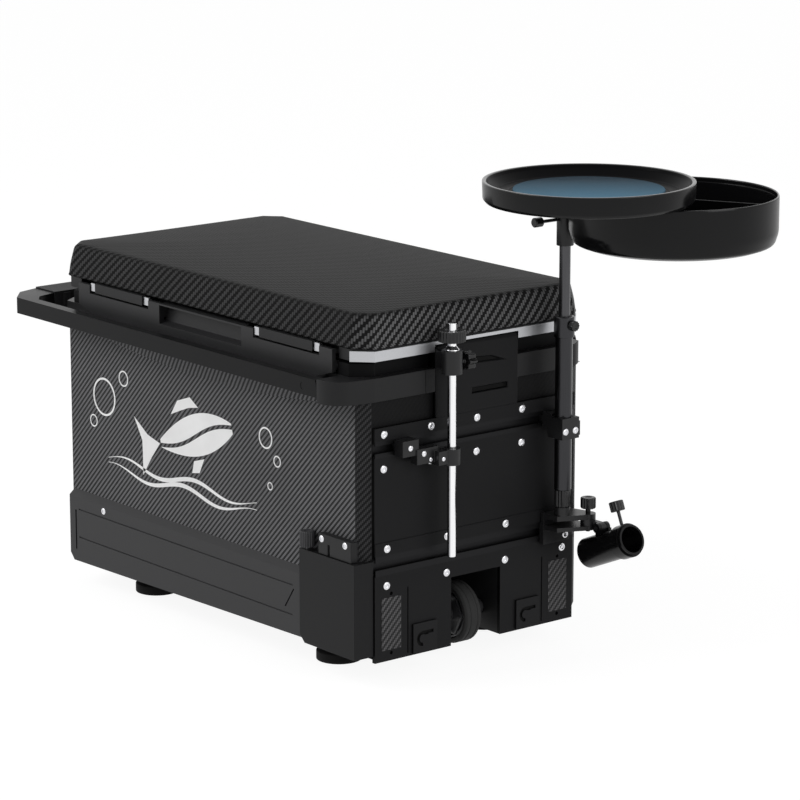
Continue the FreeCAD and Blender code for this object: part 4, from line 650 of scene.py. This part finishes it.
def button_head():
    """One screw head of 4.8 mm radius on the XY plane, with its six-sided socket."""
    head = bmesh.new()
    rings = []
    for radius, height, six_sided in HEAD_LEVELS:
        ring = []
        for n in range(24):
            angle = math.radians(15 * n)
            bend = 1 / math.cos((angle % (math.pi / 3)) - math.pi / 6) if six_sided else 1.0
            ring.append(head.verts.new((radius * bend * math.cos(angle) / 1000,
                                        radius * bend * math.sin(angle) / 1000, height / 1000)))
        rings.append(ring)
    for lower, upper in zip(rings, rings[1:]):
        for n in range(24):
            m = (n + 1) % 24
            head.faces.new((lower[n], lower[m], upper[m], upper[n]))
    head.faces.new(rings[-1])
    head.faces.new(rings[0][::-1])
    for face in head.faces:
        face.smooth = True
    mesh = bpy.data.meshes.new("button_head")
    head.to_mesh(mesh)
    head.free()
    mesh.set_sharp_from_angle(angle=math.radians(40))
    return mesh


def repeated(name, inputs, build):
    """A geometry node tree with named inputs; build joins its nodes and gives back the finished geometry."""
    group = bpy.data.node_groups.new(name, "GeometryNodeTree")
    group.interface.new_socket("Geometry", in_out="INPUT", socket_type="NodeSocketGeometry")
    for label, kind in inputs:
        group.interface.new_socket(label, in_out="INPUT", socket_type=kind)
    group.interface.new_socket("Geometry", in_out="OUTPUT", socket_type="NodeSocketGeometry")
    entry, leave = group.nodes.new("NodeGroupInput"), group.nodes.new("NodeGroupOutput")
    finish = group.nodes.new("GeometryNodeSetMaterial")
    real = group.nodes.new("GeometryNodeRealizeInstances")
    joined(group, (build(group, entry.outputs), real.inputs[0]), (real.outputs[0], finish.inputs["Geometry"]),
           (entry.outputs["Material"], finish.inputs["Material"]), (finish.outputs[0], leave.inputs[0]))
    return group


def grown(tree, mesh, **values):
    """The mesh that a geometry node tree grows on a mesh, with its inputs given by their names."""
    host = bpy.data.objects.new(tree.name, mesh)
    scene.collection.objects.link(host)
    growth = host.modifiers.new(tree.name, "NODES")
    growth.node_group = tree
    for socket in tree.interface.items_tree:
        if socket.in_out == "INPUT" and socket.name in values:
            growth[socket.identifier] = values[socket.name]
    return settled(host)


def screw_row(group, given):
    """A screw on each point, turned to the point's own facing and scaled by its own size."""
    spread = group.nodes.new("GeometryNodeInstanceOnPoints")
    pick = group.nodes.new("GeometryNodeObjectInfo")
    facing = group.nodes.new("GeometryNodeInputNamedAttribute")
    facing.data_type = "FLOAT_VECTOR"
    facing.inputs["Name"].default_value = "facing"
    size = group.nodes.new("GeometryNodeInputNamedAttribute")
    size.inputs["Name"].default_value = "size"
    aim = group.nodes.new("FunctionNodeAlignRotationToVector")
    aim.axis = "Z"
    joined(group, (given["Geometry"], spread.inputs["Points"]), (given["Screw"], pick.inputs["Object"]),
           (pick.outputs["Geometry"], spread.inputs["Instance"]),
           (facing.outputs["Attribute"], aim.inputs["Vector"]), (aim.outputs[0], spread.inputs["Rotation"]),
           (size.outputs["Attribute"], spread.inputs["Scale"]))
    return spread.outputs[0]


def screws_at(spots):
    """Screw heads at a list of (place, facing, size)."""
    points = bpy.data.meshes.new("screw_points")
    points.from_pydata([spot[0] for spot in spots], [], [])
    points.attributes.new("facing", "FLOAT_VECTOR", "POINT")
    points.attributes.new("size", "FLOAT", "POINT")
    for n, (_, direction, scale) in enumerate(spots):
        points.attributes["facing"].data[n].vector = direction
        points.attributes["size"].data[n].value = scale
    return grown(screw_tree, points, Screw=pattern, Material=bright_steel)


screw_tree = repeated("screw_rows", [("Screw", "NodeSocketObject"), ("Material", "NodeSocketMaterial")],
                      screw_row)
pattern = bpy.data.objects.new("pattern", button_head())
scene.collection.objects.link(pattern)
box_spots = [((x, y, z), (1, 0, 0), M5_SIZE) for ys, z, x in PANEL_ROWS for y in ys]
box_spots += [(place, facing, SIDE_SIZE) for place, facing in SIDE_SCREWS]
box_spots += [(place, (1, 0, 0), size) for place, size in CLAMP_SCREWS]
placed("button_screws", screws_at(box_spots), bright_steel, "box", "bright_steel", "round_screws")
carriage_spots = [(place, (1, 0, 0), SIDE_SIZE) for place in CARRIAGE_SCREWS]
placed("carriage_screws", screws_at(carriage_spots), bright_steel, "carriage", "bright_steel", "carriage_nuts")
bpy.data.objects.remove(pattern)

# Rim collar and neck: black mouldings over the top of the walls. The collar carries the handle's pins and a
# boss at the front right corner, the neck the pins of the levers.
rounded("collar_moulding", "rim_collar", 0.0014, casing_plastic, "box", "box_plastic")
neck_black = moulding("neck_black", tone(13, 13, 14), 0.5, specular=0.08)
dress(neck_black, "neck_ring")

# Release levers with their catch plates: long black flaps with a finger pocket, and pressed steel ears that
# hold two bars a side, which the lid sits over.
lever_black = moulding("lever_black", tone(41, 41, 42), 0.38, specular=0.2)
rounded("front_flap", "lever_front", 0.0009, lever_black, "front_lever", "lever_plastic")
rounded("rear_flap", "lever_rear", 0.0009, lever_black, "rear_lever", "lever_plastic")
plate_steel = drawn_metal("plate_steel", tone(196, 197, 200), 0.35)
dress(plate_steel, "catch_plates")
dress(casing_plastic, "catch_bars")

# Lid: a black moulded shell with a foam core and a white inner pan, sealed by a rubber gasket, with a strip
# of brushed aluminium round its end and black saddles over the bars.
trim_silver = drawn_metal("trim_silver", tone(188, 189, 192), 0.38, stretch=1.0)
dress(trim_silver, "lid_trim")
dress(casing_plastic, "lid_shell", "lid_saddles")
dress(liner_plastic, "lid_liner")
dress(foam_skin, "lid_foam")
gasket_rubber = moulding("gasket_rubber", tone(34, 34, 34), 0.8, specular=0.15)
dress(gasket_rubber, "lid_gasket")

# Seat cushion: a foam pad in carbon-look vinyl with cut corners. The cover is drawn tight over the foam, so
# its sides lean in a little and hollow between the corners, and its top is slightly crowned. Its stripes carry
# painted sheen, bright on the ends, weaker on the long sides and faint on top.
PAD_LOW = 0.3635
PAD_HALF_X, PAD_HALF_Y = 0.300, 0.170
PAD_CUT = 0.020
PAD_HOLLOW = 0.0015
PAD_LEVELS = [(0.0005, 0.0030, 0.0050), (0.0003, 0.0008, 0.0028), (0.0020, 0.0, 0.0012),
              (0.0050, 0.0, 0.0002), (0.0110, 0.0005, 0.0012), (0.0160, 0.0008, 0.0021),
              (0.0210, 0.0012, 0.0032), (0.0260, 0.0018, 0.0045), (0.0310, 0.0024, 0.0058),
              (0.0355, 0.0032, 0.0068), (0.0385, 0.0042, 0.0080), (0.0402, 0.0058, 0.0098),
              (0.0412, 0.0085, 0.0128)]
PAD_SPACING = 0.006
PAD_TOP_RINGS, PAD_UNDER_RINGS = 24, 10
PAD_UNDER_STEP = 0.0163
PAD_MIDDLE = 0.001
PAD_CROWN, PAD_CROWN_CURVE = 0.0030, 2.4
PRESS_FRAMES = 20
PRESS_LIMIT = 0.002
VINYL_TOW = 0.0031


def pad_ring(inset_x, inset_y, height):
    """Points round the pad at one height, evenly spread along its eight edges, each with its way along the
    full rim, and the rim's length."""
    hx, hy = PAD_HALF_X - inset_x, PAD_HALF_Y - inset_y
    cut, hollow = PAD_CUT * hy / PAD_HALF_Y, PAD_HOLLOW * hy / PAD_HALF_Y
    bends = [(-hx + cut, -hy), (hx - cut, -hy), (hx, -hy + cut), (hx, hy - cut), (hx - cut, hy),
             (-hx + cut, hy), (-hx, hy - cut), (-hx, -hy + cut)]
    corner = PAD_CUT * math.sqrt(2)
    lengths = [2 * (PAD_HALF_X - PAD_CUT), corner, 2 * (PAD_HALF_Y - PAD_CUT), corner]
    points, run = [], 0.0
    for n in range(8):
        start, end, length = Vector(bends[n]), Vector(bends[(n + 1) % 8]), lengths[n % 4]
        inward = Vector((start.y - end.y, end.x - start.x)).normalized() * (hollow if n % 2 == 0 else 0)
        count = max(round(length / PAD_SPACING), 4)
        for k in range(count):
            t = k / count
            spot = start.lerp(end, t) + inward * 4 * t * (1 - t)
            points.append(((spot.x, spot.y, height), run + length * t))
        run += length
    return points, run


def pad_cover():
    """The closed cover: a flat bottom, leaning sides and a crowned top of shrinking rings, with a map in
    metres."""
    cover = bmesh.new()
    chart = cover.loops.layers.uv.new("cover")
    first_rise, first_x, first_y = PAD_LEVELS[0]
    levels = [(in_x, in_y, PAD_LOW + rise) for rise, in_x, in_y in PAD_LEVELS]
    edge_x, edge_y, edge_height = levels[-1]
    reach = PAD_HALF_Y - edge_y - PAD_MIDDLE
    for n in range(1, PAD_TOP_RINGS + 1):
        t = n / PAD_TOP_RINGS
        crown = PAD_CROWN * (1 - (1 - t) ** PAD_CROWN_CURVE)
        levels.append((edge_x + reach * t, edge_y + reach * t, edge_height + crown))
    under = [(first_x + PAD_UNDER_STEP * n, first_y + PAD_UNDER_STEP * n, PAD_LOW + first_rise)
             for n in range(PAD_UNDER_RINGS, 0, -1)]
    rings = []
    for level in under + levels:
        spots, length = pad_ring(*level)
        rings.append(([cover.verts.new(place) for place, _ in spots], [run for _, run in spots] + [length]))
    side_from, side_to = len(under), len(under) + len(PAD_LEVELS) - 1
    for level, (lower, upper) in enumerate(zip(rings, rings[1:])):
        for n in range(len(lower[0])):
            m = (n + 1) % len(lower[0])
            face = cover.faces.new((lower[0][n], lower[0][m], upper[0][m], upper[0][n]))
            runs = (lower[1][n], lower[1][n + 1], lower[1][n + 1], lower[1][n])
            for loop, run in zip(face.loops, runs):
                spot = loop.vert.co
                loop[chart].uv = (run, spot.z) if side_from <= level < side_to else (spot.x, spot.y)
    for ring in (rings[0][0][::-1], rings[-1][0]):
        for loop in cover.faces.new(ring).loops:
            loop[chart].uv = (loop.vert.co.x, loop.vert.co.y)
    bmesh.ops.recalc_face_normals(cover, faces=cover.faces)
    for face in cover.faces:
        face.smooth = True
    mesh = bpy.data.meshes.new("pad_cover")
    cover.to_mesh(mesh)
    cover.free()
    return mesh


def pressed_out(mesh):
    """The cover as the foam presses it out, held at its bottom; no point moves past the limit."""
    flat = [vertex.co.copy() for vertex in mesh.vertices]
    pad = bpy.data.objects.new("pad_trial", mesh)
    scene.collection.objects.link(pad)
    held = pad.vertex_groups.new(name="held")
    held.add([n for n, spot in enumerate(flat) if spot.z < PAD_LOW + 0.0022], 1.0, "REPLACE")
    cloth = pad.modifiers.new("cloth", "CLOTH")
    cloth.settings.vertex_group_mass = "held"
    cloth.settings.effector_weights.gravity = 0
    cloth.settings.use_pressure = True
    cloth.settings.uniform_pressure_force = 4.0
    cloth.settings.tension_stiffness = 60
    cloth.settings.bending_stiffness = 5
    for number in range(1, PRESS_FRAMES + 1):
        scene.frame_set(number)
    shaped = settled(pad)
    scene.frame_set(1)
    for vertex, start in zip(shaped.vertices, flat):
        move = vertex.co - start
        if move.length > PRESS_LIMIT:
            vertex.co = start + move * (PRESS_LIMIT / move.length)
    return shaped


pad_mesh = pad_cover()
pad_mesh = pressed_out(pad_mesh)
# Painted sheen on the vinyl's stripes: 1.04 on the ends, 0.33 on the long sides, 0.05 on top.
vinyl_carbon = woven("vinyl_carbon", tone(8, 8, 8), tone(114, 114, 115), 0.42, VINYL_TOW, "cover",
                     (1.04, 0.33, 0.05), depth=0.6, specular=0.04)
cushion = placed("cushion_cover", pad_mesh, vinyl_carbon, "lid", "cushion_cover", "seat_cushion")

# Tow handle: a loop of painted flat bar round the end without rails, on shoulder pins in the collar, with a
# ribbed rubber grip over its end.
handle_paint = moulding("handle_paint", tone(18, 18, 19), 0.34, specular=0.09, grain_depth=0.08)
rounded("handle_loop", "pull_handle", 0.0016, handle_paint, "handle", "handle_metal", steps=3)
dress(handle_paint, "handle_pins")
grip_rubber = moulding("grip_rubber", tone(34, 34, 35), 0.6, specular=0.2, grain_depth=0.5)
rounded("grip_sleeve", "handle_grip", 0.0008, grip_rubber, "handle", "grip_rubber")

# Rod: a round polished steel rod held by a clamp on the raised block and a ring on the upper rail, with a
# knurled stop knob near its top and a ribbed clamping knob. A darker reflection is painted down its front left
# side.
ROD_PLACE = (0.322, -0.055, 0)
ROD_SHADE_WAY, ROD_SHADE = (0.63, 0.78, 0), (0.1580, 0.1592)
CLAMP_EDGE = 0.0009
clamp_paint = moulding("clamp_paint", tone(30, 30, 31), 0.34, specular=0.3, grain_depth=0.1)
knob_black = moulding("knob_black", tone(26, 26, 27), 0.25, specular=0.35, grain_depth=0.05)
rod_polish = drawn_metal("rod_polish", tone(246, 246, 248), 0.14, line_depth=0.03)
# Painted reflection: the rod's colour falls to a darker grey down its front left side.
shaded(rod_polish, ROD_SHADE_WAY, *ROD_SHADE, tone(172, 172, 175))


def black_knob(name, node, body, line, place, axis=(0, 0, 1), sides_per_rib=6, **ribbing):
    """Puts a ribbed knob of black plastic in the scene, turned over a line."""
    mesh = turned(line, place, axis, sides_per_rib * ribbing["ribs"], **ribbing)
    placed(name, mesh, knob_black, body, "knob_plastic", node)


rod_line = eased([(0, 0.115), (0.005, 0.115), (0.005, 0.3553), (0.009, 0.3553), (0.0088, 0.3562),
                  (0.0052, 0.3603), (0.005, 0.386), (0, 0.386)], 0.0006)
placed("steel_rod", turned(rod_line, ROD_PLACE), rod_polish, "rod", "bright_steel", "side_rod")
stop_line = eased([(0.005, 0.3655), (0.0055, 0.365), (0.016, 0.365), (0.016, 0.378), (0.0085, 0.378),
                   (0.0075, 0.3768), (0.005, 0.3768)], 0.0012)
black_knob("stop_knob", "rod_stop_knob", "rod", stop_line, ROD_PLACE, ribs=24, rib_depth=0.0009,
           rib_from=0.0148)
rounded("rod_top_clamp", "rod_upper_clamp", CLAMP_EDGE, clamp_paint, "box", "clamp_metal")
rounded("rod_ring_clamp", "rod_lower_clamp", 0.002, clamp_paint, "box", "clamp_metal", steps=3)
black_knob("rod_clamp_thumb", "rod_clamp_knob", "rod_knob", thumb_knob(0.011, -0.037, -0.026, 0.0025, -0.0497),
           (0.322, 0, 0.340), (0, 1, 0), sides_per_rib=12, ribs=7, rib_depth=0.0022, rib_from=0.0095)

# Pole and mast: a black anodised tube on the carriage with a locking collar, and a thinner mast that slides
# in it, clamped by a thumb screw and topped by the head clamp.
POLE_PLACE = (0.325, 0.1105, 0)
pole_black = drawn_metal("pole_black", tone(61, 61, 63), 0.3)
pole_line = eased([(0.00655, 0.176), (0.00655, 0.373), (0.012, 0.373), (0.012, 0.349), (0.010, 0.349),
                   (0.010, 0.168), (0.00305, 0.168), (0.00305, 0.176)], 0.0006)
placed("pole_sleeve", turned(pole_line, POLE_PLACE), pole_black, "carriage", "pole_metal", "pole_tube")
rounded("pole_saddle", "pole_clamp", CLAMP_EDGE, clamp_paint, "carriage", "clamp_metal")
black_knob("pole_lock_thumb", "pole_lock_knob", "lock_knob", thumb_knob(0.0062, 0.338, 0.345, 0.0025, 0.3318),
           (0, 0.1105, 0.364), (1, 0, 0), ribs=12, rib_depth=0.0006, rib_from=0.0054)
foot_knob_line = thumb_knob(0.0095, 0.1473, 0.1677, 0.003, 0.132)[:-1]
foot_knob_line += [(0.003, 0.1669), (0.003, 0.175), (0, 0.175)]
black_knob("pole_foot_thumb", "pole_foot_knob", "foot_knob", foot_knob_line, POLE_PLACE, ribs=16,
           rib_depth=0.0009, rib_from=0.0083)
mast_black = drawn_metal("mast_black", tone(80, 80, 82), 0.28)
dress(mast_black, "mast_tube")
head_line = eased([(0.0065, 0.456), (0.010, 0.456), (0.010, 0.492), (0.0065, 0.492)], 0.0007)
placed("mast_head", turned(head_line, POLE_PLACE), clamp_paint, "mast", "clamp_metal", "head_clamp")
dress(knob_black, "head_knob")

# Rod holder: a bracket on the lower rail with a fork, a swinging link, and an open tube that takes a rod
# butt, gripped by a thumb screw.
HOLDER_SLOPE = math.radians(23.2)
BUTT_SCREW_FOOT = (0.3985828, 0.144, 0.1145307)
rounded("holder_fork", "holder_bracket", CLAMP_EDGE, clamp_paint, "carriage", "clamp_metal")
dress(clamp_paint, "holder_link")
black_knob("pivot_thumb", "pivot_knob", "pivot_knob", thumb_knob(0.009, 0.143, 0.156, 0.003, 0.115),
           (0.338, 0.139, 0), ribs=16, rib_depth=0.0009, rib_from=0.0078)
holder_black = moulding("holder_black", tone(13, 13, 14), 0.2, specular=0.2, grain_depth=0.04)
rounded("holder_sleeve", "holder_tube", 0.0006, holder_black, "holder", "holder_metal")
rise = (-math.sin(HOLDER_SLOPE), 0, math.cos(HOLDER_SLOPE))
black_knob("butt_thumb", "butt_screw", "butt_screw", thumb_knob(0.0085, 0.036, 0.048, 0.002, 0.016),
           BUTT_SCREW_FOOT, rise, ribs=14, rib_depth=0.0009, rib_from=0.0074)

# Tray: shallow plastic with a flared inside, glossy outside and on its rim; its socket sits on the mast. A
# blue foam mat lies in its floor, with painted shade that darkens it towards its back left edge.
TRAY_PLACE = (0.43075, 0.05067, 0)
TRAY_RIM, BOWL_RIM, RIM_BAND = 0.551, 0.5245, 0.0008
SIDE_GLOSS, RIM_GLOSS, GLOSS_BLUR = 0.32, 0.8, 0.16
MAT_SHADE_WAY, MAT_SHADE = (0.78, -0.63, 0), (0.24, 0.39)
tray_gloss = moulding("tray_gloss", tone(14, 14, 15), 0.3, specular=0.02, grain_depth=0.02)
tree = tray_gloss.node_tree
spot = tree.nodes.new("ShaderNodeTexCoord").outputs
height = split_up(tree, spot["Object"])["Z"]
sides = ranged(tree, split_up(tree, spot["Normal"])["Z"], SIDE_GLOSS, 0.0, 0.15, 0.5)
rims = worked_out(tree, "ADD", worked_out(tree, "COMPARE", height, TRAY_RIM, RIM_BAND),
                  worked_out(tree, "COMPARE", height, BOWL_RIM, RIM_BAND))
coat = worked_out(tree, "MAXIMUM", sides, worked_out(tree, "MULTIPLY", rims, RIM_GLOSS))
tree.nodes["Principled BSDF"].inputs["Coat Roughness"].default_value = GLOSS_BLUR
joined(tree, (coat, tree.nodes["Principled BSDF"].inputs["Coat Weight"]))
tray_line = eased([(0, 0.537), (0.0845, 0.537), (0.0885, 0.5373), (0.0892, 0.5384), (0.102, 0.5392),
                   (0.112, 0.547), (0.1145, TRAY_RIM), (0.1185, TRAY_RIM), (0.1178, 0.531), (0.1145, 0.527),
                   (0.106, 0.527), (0.102, 0.534), (0, 0.534)], 0.0012, 4)
socket_line = eased([(0.00655, 0.5033), (0.010, 0.5033), (0.010, 0.536), (0.00655, 0.536)], 0.0006)
tray_shape = together(turned(tray_line, TRAY_PLACE, sides=160), turned(socket_line, POLE_PLACE))
placed("tray_dish", tray_shape, tray_gloss, "tray", "tray_plastic", "tray")
mat_blue = moulding("mat_blue", tone(88, 131, 156), 0.6, specular=0.05, grain_depth=0.6, grain_size=2600.0)
# Painted shade: the mat darkens towards its back left edge.
shaded(mat_blue, MAT_SHADE_WAY, *MAT_SHADE, tone(24, 44, 56))
mat_line = eased([(0, 0.537), (0.0845, 0.537), (0.0845, 0.5415), (0, 0.5415)], 0.0012)
placed("tray_foam", turned(mat_line, TRAY_PLACE, sides=128), mat_blue, "tray", "mat_print", "tray_mat")

# Bowl: deep glossy plastic with a rounded bottom, a ledge inside its rim and a thin dividing wall, hung
# from a ring on the mast.
BOWL_PLACE = (0.4376947, 0.1734818, 0)
BOWL_TURN = math.radians(28)
WALL_HALF, WALL_EDGE = 0.0012, 0.0004
bowl_line = eased([(0, 0.4645), (0.1005, 0.4645), (0.1145, 0.4695), (0.1185, 0.4825), (0.1185, BOWL_RIM),
                   (0.1160, BOWL_RIM), (0.1160, 0.5195), (0.1155, 0.5185), (0.1155, 0.4830), (0.1110, 0.4710),
                   (0.1005, 0.4675), (0, 0.4675)], 0.004, 5)
wall = bmesh.new()
half_line = [(0.0, 0.4665), (0.1005, 0.4665), (0.1125, 0.4715), (0.1158, 0.4830), (0.1158, 0.5185)]
outline = [(-s, z) for s, z in half_line[:0:-1]] + half_line
for side in (-WALL_HALF, WALL_HALF):
    wall.faces.new([wall.verts.new((s, side, z)) for s, z in outline])
wall.verts.ensure_lookup_table()
count = len(outline)
for n in range(count):
    m = (n + 1) % count
    wall.faces.new([wall.verts[k] for k in (n, m, count + m, count + n)])
bmesh.ops.recalc_face_normals(wall, faces=wall.faces)
bmesh.ops.bevel(wall, geom=wall.edges, offset=WALL_EDGE, segments=2, affect="EDGES")
bmesh.ops.transform(wall, matrix=Matrix.Translation(BOWL_PLACE) @ Matrix.Rotation(BOWL_TURN, 4, "Z"),
                    verts=wall.verts)
divider = bpy.data.meshes.new("divider")
wall.to_mesh(divider)
wall.free()
placed("bait_bowl", together(turned(bowl_line, BOWL_PLACE, sides=160), divider), tray_gloss, "bowl",
       "tray_plastic", "bowl")
dress(clamp_paint, "bowl_hanger")
